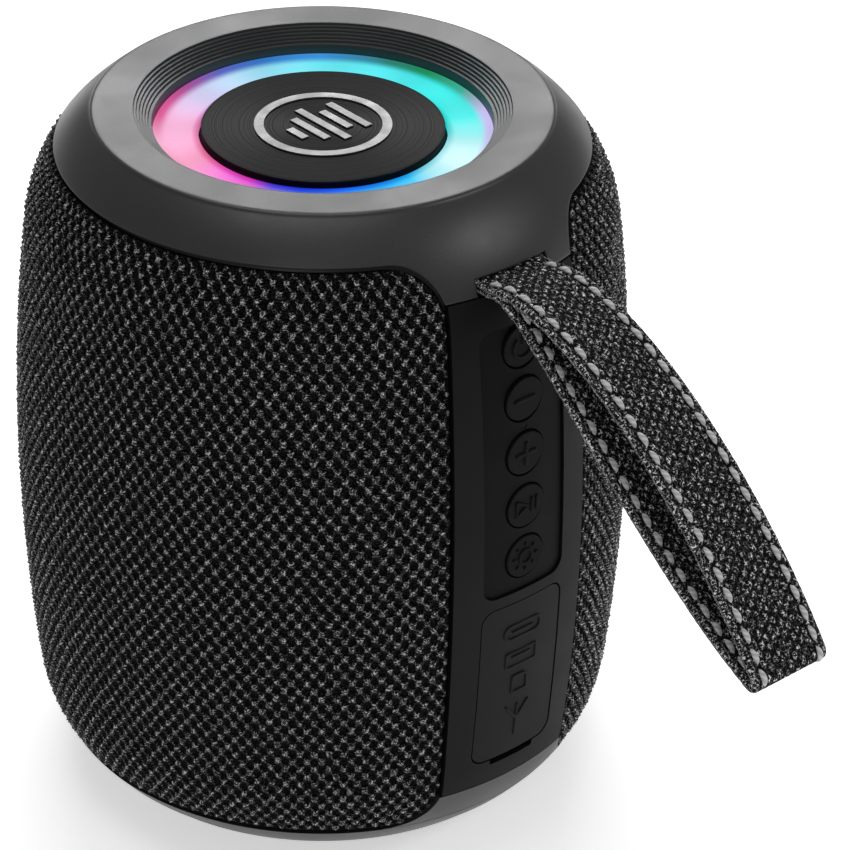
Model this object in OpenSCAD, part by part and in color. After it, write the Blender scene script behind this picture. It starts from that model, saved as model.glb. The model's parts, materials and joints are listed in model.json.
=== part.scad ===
// Portable barrel speaker: fabric-wrapped body, control spine, lit top with a passive
// radiator, full-range driver inside and a wrist strap.
// It stands on z = 0 with its axis on Z. The spine, its port cover and the strap face -Y,
// and the driver fires towards +Y. All sizes are in millimetres.

/* [Body] */
// Height from the foot to the flat top ring
body_h = 118; // [116:1:120]
// Largest radius of the barrel
barrel_r = 50; // [49.5:0.5:50.5]
// Radius of the barrel's upright curve
barrel_arc = 350; // [300:10:400]
// Height of the barrel's widest place
barrel_mid = 57; // [55:1:59]
// Radius of the curve from barrel to flat top
shoulder_arc = 26; // [25:0.5:27]
// Radius of the curve from barrel to underside
heel_arc = 22; // [21.5:0.5:22.5]
// Outer radius of the flat top ring
top_ring_r = 36; // [35.5:0.5:36.5]
// Radius of the flat underside
underside_r = 32.3; // [32:0.1:32.6]
// Wall of the plastic shells
wall = 2.2; // [2:0.1:2.4]

/* [Fabric] */
// Height of the fabric's lower edge
fabric_low = 9; // [8.5:0.5:9.5]
// Height of the fabric's upper edge
fabric_high = 111.8; // [111.4:0.1:112.2]
// Thickness of the stretched fabric
fabric_t = 1.2; // [1:0.1:1.3]
// Corner radius of the window round the spine
window_corner = 8.5; // [8:0.5:9]

/* [Spine] */
// Half angle that the spine takes of the barrel, in degrees
spine_half = 15.65; // [15.5:0.05:15.8]
// Height of the seam between spine and base
spine_low = 15.4; // [15.2:0.1:15.6]
// Height of the seam between spine and collar
spine_high = 105.5; // [105.3:0.1:105.7]
// Heights of the keys, from light to power
key_heights = [58.7, 67.9, 77.3, 86.7, 95.8];
// Radius of a round key
key_r = 3.7; // [3.5:0.1:3.8]
// How far a key travels
key_travel = 0.4; // [0.3:0.1:0.4]
// Width of the keypad and of the port cover
inset_w = 16.5; // [16.2:0.1:16.8]

/* [Port cover] */
// Height of the cover's lower edge
cover_low = 20.4; // [20.3:0.1:20.6]
// Height of the cover's upper edge
cover_high = 50.6; // [50.4:0.1:50.8]

/* [Top] */
// Inner radius of the flat top ring, where the grooves begin
funnel_r = 29.7; // [29.6:0.1:29.8]
// Radius of the opening below the grooves
lip_r = 26.8; // [26.7:0.1:26.9]
// Number of stepped grooves
grooves = 6; // [5:1:7]
// Radius of the round centre plate with its rim
plate_r = 19.2; // [19:0.1:19.3]
// Height of the centre plate's face
plate_z = 114.4; // [114.2:0.1:114.6]

/* [Strap] */
// Width of the strap
strap_w = 13.8; // [13.5:0.1:14]
// Thickness of one layer of the strap
strap_t = 1.5; // [1.4:0.1:1.6]

/* [Driver] */
// Height of the driver's axis
driver_z = 62; // [60:1:64]
// Radius of the driver's flange
flange_r = 29; // [28.8:0.1:29.2]

/* [Hidden] */
$fn = 64;
gap = 0.1;
barrel_c = [barrel_r - barrel_arc, barrel_mid];
shoulder_c = circles_meet(barrel_c, barrel_arc - shoulder_arc, [top_ring_r, body_h],
                          shoulder_arc, -1);
heel_c = circles_meet(barrel_c, barrel_arc - heel_arc, [underside_r, 0], heel_arc, 1);
foot_h = 1.95;
foot_r = 31;
cup_low = 1;
cup_floor = 3.4;
head_seat = 4.2;
shell_floor = [9.2, 11.2];
shell_t = [1.5, 3.7];
deck_z = [101.5, 103.5];
deck_hole_r = 27;
spine_t = 1.4;
inner_w = 20.8;
inner_t = 4.8;
inner_z = [17.6, 100.9];
keypad_z = [52.8, 100];
inset_corner = 2.5;
pad_t = [0.5, 1.75];
pad_recess_t = 1.8;
key_back_y = 44.2;
ports_t = 3.8;
port_face_y = 45.3;
usb_c_z = 45.1;
usb_a_z = 38.9;
card_z = 34.4;
cover_t = [0.1, 1.9];
rib_t = 1.2;
key_board_y = 40.6;
plunger_y = key_board_y + 1.6;
key_chamber_z = [53.6, 100.3];
main_board_y = 35.6;
board_t = 1.2;
slot_z = [spine_high, 107.9];
anchor_y = 37.6;
anchor_z = 107;
anchor_r = 1;
strap_root = [46.75, 107.1];
strap_root_r = 0.9;
strap_upper = [[46.7, 107.2], [58.5, 110.5], [85, 98], [106.5, 68.5]];
strap_lower = [[46.7, 107.2], [52.5, 112], [78, 80], [105, 67.5]];
battery_y = 10;
battery_r = 9.2;
battery_z = shell_floor[1] + 0.5 + battery_r;
base_screw_r = 28;
collar_screw_r = 35;
screw_r = 1.2;
baffle_y = 35.6;
driver_face = baffle_y - 0.8;
flange_y = 33.3;
cone_mouth_r = 24.5;
driver_screw_r = 26.8;

// ---- outline of the barrel -------------------------------------------------------------

// The point where two circles meet, on the left (side = 1) or right (-1) of the line a to b.
function circles_meet(a, ra, b, rb, side) =
    let (d = norm(b - a),
         along = (ra * ra - rb * rb + d * d) / (2 * d),
         off = sqrt(ra * ra - along * along),
         u = (b - a) / d)
    a + along * u + side * off * [-u.y, u.x];

// Radius at height z of a circular arc about c.
function arc_radius(c, r, z) = c.x + sqrt(max(0, r * r - (z - c.y) * (z - c.y)));

// Height at which the barrel arc, moved in by t, runs into the arc about c of radius r.
function join_z(c, r, t = 0) =
    barrel_c.y + (barrel_arc - t) * (c.y - barrel_c.y) / (barrel_arc - r);

// Radius of the outer surface at height z, moved in by t along its normal.
function skin(z, t = 0) =
    z > join_z(shoulder_c, shoulder_arc, t) ? arc_radius(shoulder_c, shoulder_arc - t, z)
    : z < join_z(heel_c, heel_arc, t) ? arc_radius(heel_c, heel_arc - t, z)
    : arc_radius(barrel_c, barrel_arc - t, z);

// Heights from low to high: every 2 mm on the rounded ends, every 8 mm on the barrel.
function skin_heights(low, high) = concat(
    [low],
    [for (z = [2:2:body_h - 2])
        if (z > low + 0.5 && z < high - 0.5 && (z < 20 || z > 98 || z % 8 == 0)) z],
    [high]);

function skin_curve(t, low, high) = [for (z = skin_heights(low, high)) [skin(z, t), z]];

function reversed(list) = [for (i = [len(list) - 1:-1:0]) list[i]];

// A ring whose section follows the outer surface, from depth t[0] to depth t[1].
module skin_ring(t, low, high) {
    rotate_extrude()
        polygon(concat(skin_curve(t[0], low, high), reversed(skin_curve(t[1], low, high))));
}

// The part of such a ring within half degrees of -Y.
module skin_sector(t, low, high, half) {
    rotate([0, 0, -90 - half])
        rotate_extrude(angle = 2 * half, start = 0)
            polygon(concat(skin_curve(t[0], low, high), reversed(skin_curve(t[1], low, high))));
}

// Everything inside the outer surface moved in by t.
module skin_core(t, low, high) {
    rotate_extrude()
        polygon(concat([[0, low]], skin_curve(t, low, high), [[0, high]]));
}

// ---- shared shapes ---------------------------------------------------------------------

// Outline of a rectangle w by h with rounded corners, centred.
function round_rect(w, h, r) = [
    for (q = [[1, 1, 0], [-1, 1, 90], [-1, -1, 180], [1, -1, 270]], a = [0:15:90])
        [q.x * (w / 2 - r) + r * cos(q.z + a), q.y * (h / 2 - r) + r * sin(q.z + a)]];

// Stands a flat outline up in the XZ plane at y = -from, and extrudes it to y = -to.
module towards_front(from, to) {
    translate([0, -from, 0])
        rotate([90, 0, 0])
            linear_extrude(to - from)
                children();
}

// A round bar along Y from y = -from to y = -to.
module front_bar(r, from, to, z) {
    towards_front(from, to)
        translate([0, z])
            circle(r);
}

module side_bar(r, from, to, y, z) {
    translate([from, y, z])
        rotate([0, 90, 0])
            cylinder(h = to - from, r = r);
}

// A block between two corners.
module block(low, high) {
    translate(low)
        cube(high - low);
}

// A rounded rectangle on the spine between two heights, w wide, at depths t.
module inset(w, z, corner, t) {
    intersection() {
        towards_front(36, 56)
            translate([0, (z[0] + z[1]) / 2])
                polygon(round_rect(w, z[1] - z[0], corner));
        skin_sector(t, z[0] - 1, z[1] + 1, spine_half);
    }
}

// A turned ring between radii and heights.
module ring(r_in, r_out, low, high) {
    rotate_extrude()
        translate([r_in, low])
            square([r_out - r_in, high - low]);
}

// The same about the driver's axis, with "height" running along +Y.
module driver_axis() {
    translate([0, 0, driver_z])
        rotate([-90, 0, 0])
            children();
}

module four_corners(r) {
    for (a = [45:90:315])
        rotate([0, 0, a])
            translate([r, 0, 0])
                children();
}

// ---- fabric and its window -------------------------------------------------------------

// The corner that rounds the fabric off at height edge, dir = 1 above and -1 below.
module window_notch(edge, dir) {
    centre = [window_corner, edge - dir * window_corner];
    rotate([0, 0, spine_half])
        towards_front(36, 56)
            polygon(concat(
                [[-1, centre.y]],
                [for (a = [180:-9:90])
                    centre + window_corner * [cos(a), dir * sin(a)]],
                [[window_corner, edge + dir], [-1, edge + dir]]));
}

module spine_window() {
    half_w = 60 * sin(spine_half);
    linear_extrude(body_h)
        polygon([[0, 0], [-half_w, -60 * cos(spine_half)], [half_w, -60 * cos(spine_half)]]);
    window_notches();
}

module window_notches() {
    for (side = [0, 1])
        mirror([side, 0, 0]) {
            window_notch(fabric_high, 1);
            window_notch(fabric_low, -1);
        }
}

module grille_fabric() {
    color("#1b1b1c")
        difference() {
            rotate([0, 0, 180])
                skin_sector([0, fabric_t], fabric_low + gap, fabric_high - gap, 180 - spine_half);
            window_notches();
        }
}

// ---- shells ----------------------------------------------------------------------------

module body_shell() {
    color("#222224")
        difference() {
            union() {
                shell_barrel();
                driver_baffle();
                four_corners(base_screw_r)
                    translate([0, 0, 6.05])
                        cylinder(h = shell_floor[1] - 6.05, r = 4);
            }
            block([-inner_w / 2 - 0.2, -56, inner_z[0] - 0.3], [inner_w / 2 + 0.2, -30, inner_z[1] + 0.3]);
            battery_screw_places()
                cylinder(h = 4, r = screw_r + 0.05);
            driver_axis() {
                cylinder(h = 60, r = cone_mouth_r);
                four_corners(driver_screw_r)
                    translate([0, 0, baffle_y - 1])
                        cylinder(h = 6, r = screw_r + 0.05);
            }
            four_corners(base_screw_r)
                translate([0, 0, 5])
                    cylinder(h = 5.7, r = screw_r + 0.05);
            four_corners(collar_screw_r)
                translate([0, 0, deck_z[0] - 1])
                    cylinder(h = 4, r = 1.6);
        }
}

module shell_barrel() {
    outer = skin_curve(shell_t[0], shell_floor[0], deck_z[1]);
    inner = skin_curve(shell_t[1], shell_floor[1], deck_z[0]);
    rotate_extrude()
        polygon(concat([[0, shell_floor[0]]], outer, [[deck_hole_r, deck_z[1]]],
                       [[deck_hole_r, deck_z[0]]], reversed(inner), [[0, shell_floor[1]]]));
}

module driver_baffle() {
    intersection() {
        driver_axis()
            translate([0, 0, baffle_y])
                cylinder(h = 15, r = 32);
        skin_core(shell_t[0] + 0.3, shell_floor[1] + 4, deck_z[0] - 3);
    }
}

module deck_gasket() {
    color("#141414")
        ring(42.8, 44.8, deck_z[1], deck_z[1] + 0.7);
}

module top_collar() {
    skirt_low = deck_z[1] + 0.7;
    funnel_low = 105.6;
    under_z = body_h - 2.4;
    step = (funnel_r - lip_r - 0.2) / grooves;
    drop = 0.42;
    funnel = [for (i = [0:grooves - 1], j = [0, 1])
        [funnel_r - step * (i + j / 4), body_h - drop * (i + j)]];
    section = concat(
        skin_curve(shell_t[0], skirt_low, fabric_high + gap),
        skin_curve(0, fabric_high + gap, body_h - 0.3),
        [[skin(body_h) - 0.5, body_h]],
        funnel,
        [[lip_r + 0.2, body_h - drop * grooves], [lip_r, body_h - drop * grooves - 0.2],
         [lip_r, 113.6], [28.4, 113.6],
         [28.4, funnel_low], [29.9, funnel_low], [29.9, under_z],
         [skin(under_z, shell_t[1]), under_z]],
        reversed(skin_curve(shell_t[1], skirt_low, under_z - 0.4)));
    color("#48484a")
        difference() {
            union() {
                rotate_extrude()
                    polygon(section);
                intersection() {
                    skin_ring([0, 2], spine_high + gap, fabric_high + 1);
                    spine_window();
                }
                intersection() {
                    union() {
                        four_corners(collar_screw_r)
                            translate([0, 0, skirt_low])
                                cylinder(h = under_z + 1 - skirt_low, r = 3.2);
                        for (side = [-1, 1])
                            translate([side * 9.1, 0, 0])
                                block([-1.1, -43.6, spine_high + gap], [1.1, -35.8, under_z + 1]);
                    }
                    skin_core(1, skirt_low, under_z + 1);
                }
            }
            block([-strap_w / 2 - 0.25, -56, slot_z[0] - 2], [strap_w / 2 + 0.25, -38, slot_z[1]]);
            side_bar(anchor_r + 0.05, -9.8, 9.8, -anchor_y, anchor_z);
            four_corners(collar_screw_r)
                translate([0, 0, skirt_low - 1])
                    cylinder(h = 8, r = screw_r + 0.05);
        }
}

module base_cup() {
    low_face = skin(cup_low);
    color("#2c2c2e")
        difference() {
            union() {
                rotate_extrude()
                    polygon(concat(
                        [[0, foot_h + 0.05], [foot_r + 0.2, foot_h + 0.05], [foot_r + 0.2, cup_low]],
                        [[low_face - 0.3, cup_low]],
                        skin_curve(0, cup_low + 0.3, fabric_low - gap),
                        reversed(skin_curve(wall, cup_floor, fabric_low - gap)),
                        [[0, cup_floor]]));
                intersection() {
                    skin_ring([0, spine_t], fabric_low - 1, spine_low - gap);
                    spine_window();
                }
                four_corners(base_screw_r)
                    translate([0, 0, foot_h + 0.05])
                        cylinder(h = 4, r = 4.5);
            }
            four_corners(base_screw_r) {
                translate([0, 0, 1])
                    cylinder(h = head_seat - 1, r = 2.95);
                cylinder(h = 10, r = screw_r + 0.3);
            }
        }
}

module rubber_foot() {
    color("#161616")
        rotate_extrude()
            polygon([[0, 0], [foot_r - 0.4, 0], [foot_r, 0.4], [foot_r, foot_h], [0, foot_h]]);
}

// A pan-head screw pointing up from z = 0 to h, with its head below.
module screw(h, head_r, head_h) {
    difference() {
        union() {
            cylinder(h = h, r = screw_r);
            translate([0, 0, -head_h])
                cylinder(h = head_h, r = head_r);
        }
        for (a = [0, 90])
            rotate([0, 0, a])
                translate([-1.4, -0.3, -head_h - 1])
                    cube([2.8, 0.6, 1.8]);
    }
}

module base_screws() {
    color("silver")
        four_corners(base_screw_r)
            translate([0, 0, head_seat - 0.02])
                screw(6.2, 2.7, 1.9);
}

module collar_screws() {
    color("silver")
        four_corners(collar_screw_r)
            translate([0, 0, deck_z[0] - 0.02])
                screw(9, 2.7, 1.8);
}

// ---- spine -----------------------------------------------------------------------------

module spine_panel() {
    color("#2b2b2d")
        difference() {
            union() {
                skin_sector([0, spine_t], spine_low + gap, spine_high - gap, spine_half - 0.1);
                intersection() {
                    skin_sector([spine_t - 0.4, inner_t], inner_z[0], inner_z[1], spine_half);
                    block([-inner_w / 2, -56, 0], [inner_w / 2, -30, body_h]);
                }
            }
            inset(inset_w, keypad_z, inset_corner, [-1, pad_recess_t]);
            inset(inset_w + 0.3, [cover_low - 0.2, cover_high + 0.25], inset_corner, [-1, ports_t]);
            block([-9.3, -key_back_y, key_chamber_z[0]], [9.3, -30, key_chamber_z[1]]);
            for (z = key_heights)
                front_bar(key_r + 0.25, 30, 56, z);
            front_bar(0.45, 30, 56, 82);
            port_cutouts();
            finger_notch();
        }
}

module port_cutouts() {
    towards_front(30, 56) {
        translate([0, usb_c_z])
            polygon(round_rect(9.3, 3.6, 1.6));
        translate([0, usb_a_z])
            polygon(round_rect(13.5, 6.1, 0.6));
        translate([0, card_z])
            polygon(round_rect(12.4, 2.2, 0.4));
    }
}

module finger_notch() {
    towards_front(46, 56)
        translate([0, cover_low - 0.1])
            polygon(round_rect(9.1, 2.2, 0.5));
}

module keypad_pad() {
    color("#1d1d1e")
        difference() {
            inset(inset_w - 0.3, [keypad_z[0] + 0.15, keypad_z[1] - 0.15], inset_corner - 0.15, pad_t);
            for (z = key_heights)
                front_bar(key_r + 0.25, 30, 56, z);
            front_bar(0.45, 30, 56, 82);
        }
}

// A key with its retaining flange and the pin that reaches for its switch.
module button(z) {
    color("#232324") {
        front_bar(key_r, 43.6, skin(z) - 0.3, z);
        front_bar(key_r + 0.5, 43.2, 44, z);
        front_bar(1, plunger_y + key_travel + 0.15, 43.4, z);
    }
}

module button_light() { button(key_heights[0]); }
module button_play() { button(key_heights[1]); }
module button_plus() { button(key_heights[2]); }
module button_minus() { button(key_heights[3]); }
module button_power() { button(key_heights[4]); }

module indicator_pipe() {
    color("white")
        front_bar(0.38, plunger_y, skin(82) - pad_t[0] - 0.1, 82);
}

// The cover bends along its top edge, at its outer face. Behind it a sealing rib goes
// round the three ports.
module port_cover() {
    color("#202021") {
        inset(inset_w - 0.2, [cover_low, cover_high], inset_corner - 0.1, cover_t);
        difference() {
            intersection() {
                seal_rib(15.4, 19.4, 2);
                skin_sector([cover_t[1] - 0.2, cover_t[1] + rib_t], 28, cover_high, spine_half);
            }
            seal_rib(14, 18, 1.3);
        }
    }
}

module seal_rib(w, h, corner) {
    towards_front(36, 56)
        translate([0, 39.4])
            polygon(round_rect(w, h, corner));
}

// ---- boards and sockets ----------------------------------------------------------------

module key_board() {
    color("#1f5a33")
        block([-9, -key_board_y, 54], [9, -key_board_y + board_t, 100]);
}

module tact_switches() {
    color("#9a9a9a")
        for (z = key_heights) {
            block([-2, -key_board_y - 1.1, z - 1.5], [2, -key_board_y, z + 1.5]);
            front_bar(0.9, key_board_y + 1, plunger_y, z);
        }
}

module main_board() {
    color("#1f5a33")
        block([-18, -main_board_y, 16], [18, -main_board_y + board_t, 51]);
}

module board_parts() {
    back = -main_board_y + board_t;
    color("#17181a") {
        block([-11, back, 38], [-4, back + 1, 45]);
        block([2, back, 36], [8, back + 3, 42]);
        block([-10, back, 24], [-3, back + 1.2, 31]);
        block([4, back, 19], [14, back + 5, 24]);
        for (x = [2, 8, 14])
            translate([x, back, 30])
                rotate([-90, 0, 0])
                    cylinder(h = 6, r = 2.2);
    }
}

// A metal socket that opens towards -Y, with a tongue inside.
module socket(z, outer, inner, corner, tongue) {
    difference() {
        towards_front(main_board_y, port_face_y)
            translate([0, z])
                polygon(round_rect(outer.x, outer.y, corner));
        towards_front(main_board_y + 1.5, port_face_y + 1)
            translate([0, z])
                polygon(round_rect(inner.x, inner.y, corner * 0.8));
    }
    towards_front(main_board_y + 1, port_face_y - 1)
        translate([0, z + tongue.z])
            square([tongue.x, tongue.y], center = true);
}

module usb_c_socket() {
    color("silver") socket(usb_c_z, [8.9, 3.2], [8.3, 2.6], 1.5, [6.7, 0.7, 0]);
}

module usb_a_socket() {
    color("silver") socket(usb_a_z, [13.1, 5.7], [12.5, 5.1], 0.5, [11.1, 1.8, 1]);
}

module card_socket() {
    color("silver") socket(card_z, [12, 1.9], [11.4, 1.3], 0.3, [10.6, 0.3, -0.4]);
}

// ---- battery ---------------------------------------------------------------------------

module battery_cell() {
    color("#2f6fb0") {
        side_bar(battery_r, -32.5, 31, battery_y, battery_z);
        side_bar(3, 30.9, 32.5, battery_y, battery_z);
    }
}

module battery_cradle() {
    color("#202020")
        difference() {
            for (x = [-20, 20])
                block([x - 3, battery_y - 12, shell_floor[1]], [x + 3, battery_y + 12, battery_z - 1.5]);
            side_bar(battery_r + 0.1, -30, 30, battery_y, battery_z);
        }
}

module battery_screw_places() {
    for (side = [-1, 1])
        translate([0, battery_y + side * (battery_r + 4.2), shell_floor[1] - 1.4])
            children();
}

module battery_strap() {
    half = battery_r + 1;
    color("#303030")
        difference() {
            union() {
                side_bar(half, -4.5, 4.5, battery_y, battery_z);
                block([-4.5, battery_y - half, shell_floor[1]], [4.5, battery_y + half, battery_z]);
                block([-4.5, battery_y - half - 6, shell_floor[1]],
                      [4.5, battery_y + half + 6, shell_floor[1] + 1.2]);
            }
            side_bar(battery_r + 0.1, -5, 5, battery_y, battery_z);
            block([-5, battery_y - battery_r - 0.1, shell_floor[1] - 1],
                  [5, battery_y + battery_r + 0.1, battery_z]);
            battery_screw_places()
                cylinder(h = 4, r = screw_r + 0.05);
        }
}

module battery_screws() {
    color("silver")
        battery_screw_places()
            translate([0, 0, 2.62])
                rotate([180, 0, 0])
                    screw(2.4, 2.1, 1.4);
}

// ---- lit top ---------------------------------------------------------------------------

// Height of the light ring's dished face at radius r.
function dish(r) = 112.8 + (r < 23 ? 0.6 * pow((23 - r) / 3.4, 2) : 1.1 * pow((r - 23) / 3.65, 2));

module light_ring() {
    r_in = plate_r + 0.4;
    r_out = lip_r - 0.15;
    face = [for (i = [0:14]) let (r = r_in + (r_out - r_in) * i / 14) [r, dish(r)]];
    back = [for (i = [14:-1:0]) let (r = r_in + (r_out - r_in) * i / 14) [r, dish(r) - 1]];
    color("#8fd0ff")
        rotate_extrude()
            polygon(concat(face, [[r_out, 113.5], [28.2, 113.5], [28.2, 112.3]], back));
}

module light_tray() {
    color("white")
        rotate_extrude()
            polygon([[19.9, 106.4], [28.2, 106.4], [28.2, 112.2], [27.4, 112.2], [27.4, 107.4],
                     [20.7, 107.4], [20.7, 111.9], [19.9, 111.9]]);
}

module led_board() {
    color("#e8e8e0")
        ring(20.9, 27.2, 107.42, 108.6);
}

module leds() {
    color("#ffe9c0")
        for (a = [0:30:330])
            rotate([0, 0, a])
                translate([24, 0, 109.3])
                    cube([3, 3, 1.4], center = true);
}

module radiator_plate() {
    color("#19191a")
        rotate_extrude()
            polygon([[0, 112.9], [18.3, 112.9], [18.3, plate_z - 0.15], [18.15, plate_z], [0, plate_z]]);
}

module radiator_rim() {
    color("#101010")
        rotate_extrude()
            polygon([[18.3, 112.5], [plate_r, 112.5], [plate_r, plate_z - 0.4],
                     [plate_r - 0.25, plate_z - 0.15], [18.3, plate_z - 0.15]]);
}

// A thin ring round five upright bars of different heights, a plain sign for sound.
module plate_emblem() {
    bars = [4, 8.5, 12.5, 7, 10];
    color("silver") {
        ring(9.3, 10.9, plate_z, plate_z + 0.25);
        for (i = [0:len(bars) - 1])
            translate([(i - 2) * 2.6 - 0.7, -bars[i] / 2, plate_z])
                cube([1.4, bars[i], 0.25]);
    }
}

module radiator_stem() {
    color("#2a2a2a") {
        translate([0, 0, deck_z[1]])
            cylinder(h = 112.9 - deck_z[1], r = 5);
        translate([0, 0, deck_z[1]])
            cylinder(h = 1.2, r = 9);
    }
}

module radiator_diaphragm() {
    color("#3a3a3a")
        translate([0, 0, deck_z[1] - 1.2])
            cylinder(h = 1.2, r = 19.6);
}

module radiator_weight() {
    color("#8c8c90")
        translate([0, 0, 98.4])
            cylinder(h = deck_z[1] - 1.2 - 98.4, r = 9);
}

// A flat inner rim, a half roll that hangs down and a flat outer rim.
module half_roll(r_in, r_low, r_high, r_out, t) {
    mid = (r_low + r_high) / 2;
    big = (r_high - r_low) / 2;
    rotate_extrude()
        polygon(concat(
            [[r_in, t], [r_in, 0], [r_low, 0]],
            [for (a = [195:15:345]) [mid + big * cos(a), big * sin(a)]],
            [[r_high, 0], [r_out, 0], [r_out, t]],
            [for (a = [360:-15:180]) [mid + (big - t) * cos(a), t + (big - t) * sin(a)]]));
}

module radiator_surround() {
    color("#151515")
        translate([0, 0, deck_z[1] + 0.02])
            half_roll(16, 20, 25, 31.4, 0.5);
}

module radiator_frame() {
    color("#242426")
        ring(26, 31.4, deck_z[1] + 0.54, 105.4);
}

// ---- driver ----------------------------------------------------------------------------

module driver_frame() {
    color("#55585c")
        driver_axis()
            difference() {
                rotate_extrude()
                    polygon([[21.4, driver_face], [flange_r, driver_face], [flange_r, flange_y],
                             [22.9, flange_y], [15.4, 20.4], [15.4, 19], [9, 19], [9, 20.2], [14.2, 20.2],
                             [21.4, flange_y + 0.2]]);
                for (a = [0:90:270])
                    rotate([0, 0, a])
                        translate([-5, 10, 22])
                            cube([10, 20, 9]);
                four_corners(driver_screw_r)
                    translate([0, 0, 30])
                        cylinder(h = 10, r = screw_r + 0.3);
            }
}

module driver_gasket() {
    color("#151515")
        driver_axis()
            difference() {
                ring(24.7, flange_r - 0.2, driver_face, baffle_y);
                four_corners(driver_screw_r)
                    translate([0, 0, 30])
                        cylinder(h = 10, r = screw_r + 0.3);
            }
}

module driver_screws() {
    color("silver")
        driver_axis()
            four_corners(driver_screw_r)
                translate([0, 0, flange_y - 0.02])
                    screw(6.5, 2.2, 1.5);
}

module driver_top_plate() {
    color("#8c8f94") driver_axis() ring(8.4, 15, 16.5, 19);
}

module driver_magnet() {
    color("#3b3b3d") driver_axis() ring(9.2, 16, 9, 16.5);
}

module driver_back_plate() {
    color("#8c8f94")
        driver_axis()
            rotate_extrude()
                polygon([[0, 6.5], [15, 6.5], [15, 9], [7.5, 9], [7.5, 19], [0, 19]]);
}

module driver_surround() {
    color("#141414")
        driver_axis()
            translate([0, 0, driver_face + 0.42])
                mirror([0, 0, 1])
                    half_roll(18.6, 19.9, 22.5, 24.4, 0.4);
}

// Three corrugations from the coil out to the frame.
module driver_spider() {
    waves = [for (i = [0:18]) [8.2 + 6.6 * i / 18, 22 + 0.5 * sin(i * 60)]];
    color("#c9a35a")
        driver_axis()
            rotate_extrude()
                polygon(concat(waves, [for (p = reversed(waves)) p + [0, 0.3]]));
}

module driver_cone() {
    color("#26262a")
        driver_axis()
            rotate_extrude()
                polygon([[8.2, 25.6], [18.9, driver_face - 0.4], [19.8, driver_face - 0.4],
                         [19.8, driver_face], [18.4, driver_face], [8.2, 26.3]]);
}

module driver_dust_cap() {
    rise = 3;
    rim = 7.9;
    ball = (rim * rim + rise * rise) / (2 * rise);
    color("#1c1c1f")
        driver_axis()
            translate([0, 0, 27])
                rotate_extrude()
                    polygon(concat(
                        [for (i = [0:8]) let (r = rim * i / 8) [r, rise - ball + sqrt(ball * ball - r * r)]],
                        [for (i = [8:-1:0]) let (r = rim * i / 8)
                            [r, rise - ball - 0.4 + sqrt(ball * ball - r * r)]]));
}

module driver_voice_coil() {
    color("#b5651d") driver_axis() ring(7.75, 8.15, 13, 26.55);
}

// ---- strap -----------------------------------------------------------------------------

module strap_anchor_pin() {
    color("silver") side_bar(anchor_r, -9.7, 9.7, -anchor_y, anchor_z);
}

module strap_tail() {
    color("#2a2a2c")
        difference() {
            union() {
                side_bar(1.9, -strap_w / 2, strap_w / 2, -anchor_y, anchor_z);
                block([-strap_w / 2, -45.4, slot_z[0] + 0.25], [strap_w / 2, -anchor_y, slot_z[1] - 0.2]);
            }
            side_bar(anchor_r + 0.03, -10, 10, -anchor_y, anchor_z);
        }
}

function bezier(p, u) = pow(1 - u, 3) * p[0] + 3 * pow(1 - u, 2) * u * p[1]
    + 3 * (1 - u) * u * u * p[2] + pow(u, 3) * p[3];

// Unit normal of the curve, to its left as it runs away from the body.
function bezier_normal(p, u) =
    let (d = bezier(p, min(1, u + 0.01)) - bezier(p, max(0, u - 0.01)))
    [-d.y, d.x] / norm(d);

function layer_outline(p, steps) = concat(
    [for (i = [0:steps]) bezier(p, i / steps) + strap_t / 2 * bezier_normal(p, i / steps)],
    [for (i = [steps:-1:0]) bezier(p, i / steps) - strap_t / 2 * bezier_normal(p, i / steps)]);

// Stands an outline of distance from the axis against height on the plane x = 0, and
// extrudes it to the strap's width.
module across_strap() {
    translate([strap_w / 2, 0, 0])
        rotate([90, 0, -90])
            linear_extrude(strap_w)
                children();
}

// Two layers of webbing that leave the slot together, part, and meet in a fold at the end.
module strap_loop() {
    fold = (strap_upper[3] + strap_lower[3]) / 2;
    color("#2a2a2c")
        union() {
            across_strap()
                polygon(layer_outline(strap_upper, 16));
            across_strap()
                polygon(layer_outline(strap_lower, 16));
            side_bar(strap_root_r, -strap_w / 2, strap_w / 2, -strap_root.x, strap_root.y);
            side_bar(1.65, -strap_w / 2, strap_w / 2, -fold.x, fold.y);
        }
}

top_collar();
grille_fabric();
body_shell();
deck_gasket();
spine_panel();
keypad_pad();
button_light();
button_play();
button_plus();
button_minus();
button_power();
indicator_pipe();
port_cover();
base_cup();
rubber_foot();
base_screws();
collar_screws();
light_ring();
light_tray();
led_board();
leds();
radiator_plate();
radiator_rim();
plate_emblem();
radiator_stem();
radiator_diaphragm();
radiator_weight();
radiator_surround();
radiator_frame();
driver_frame();
driver_gasket();
driver_screws();
driver_top_plate();
driver_magnet();
driver_back_plate();
driver_surround();
driver_spider();
driver_cone();
driver_dust_cap();
driver_voice_coil();
key_board();
tact_switches();
main_board();
board_parts();
usb_c_socket();
usb_a_socket();
card_socket();
battery_cell();
battery_cradle();
battery_strap();
battery_screws();
strap_anchor_pin();
strap_tail();
strap_loop();
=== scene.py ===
"""Looks of the portable barrel speaker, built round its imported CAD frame.

Lengths are in millimetres until a mesh is made, where MM turns them into metres. Angles round
the barrel are in degrees from the spine, which faces -Y, and grow towards +X.
"""

import json
import math

import bmesh
import bpy
import numpy as np
from mathutils import Matrix, Vector

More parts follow.
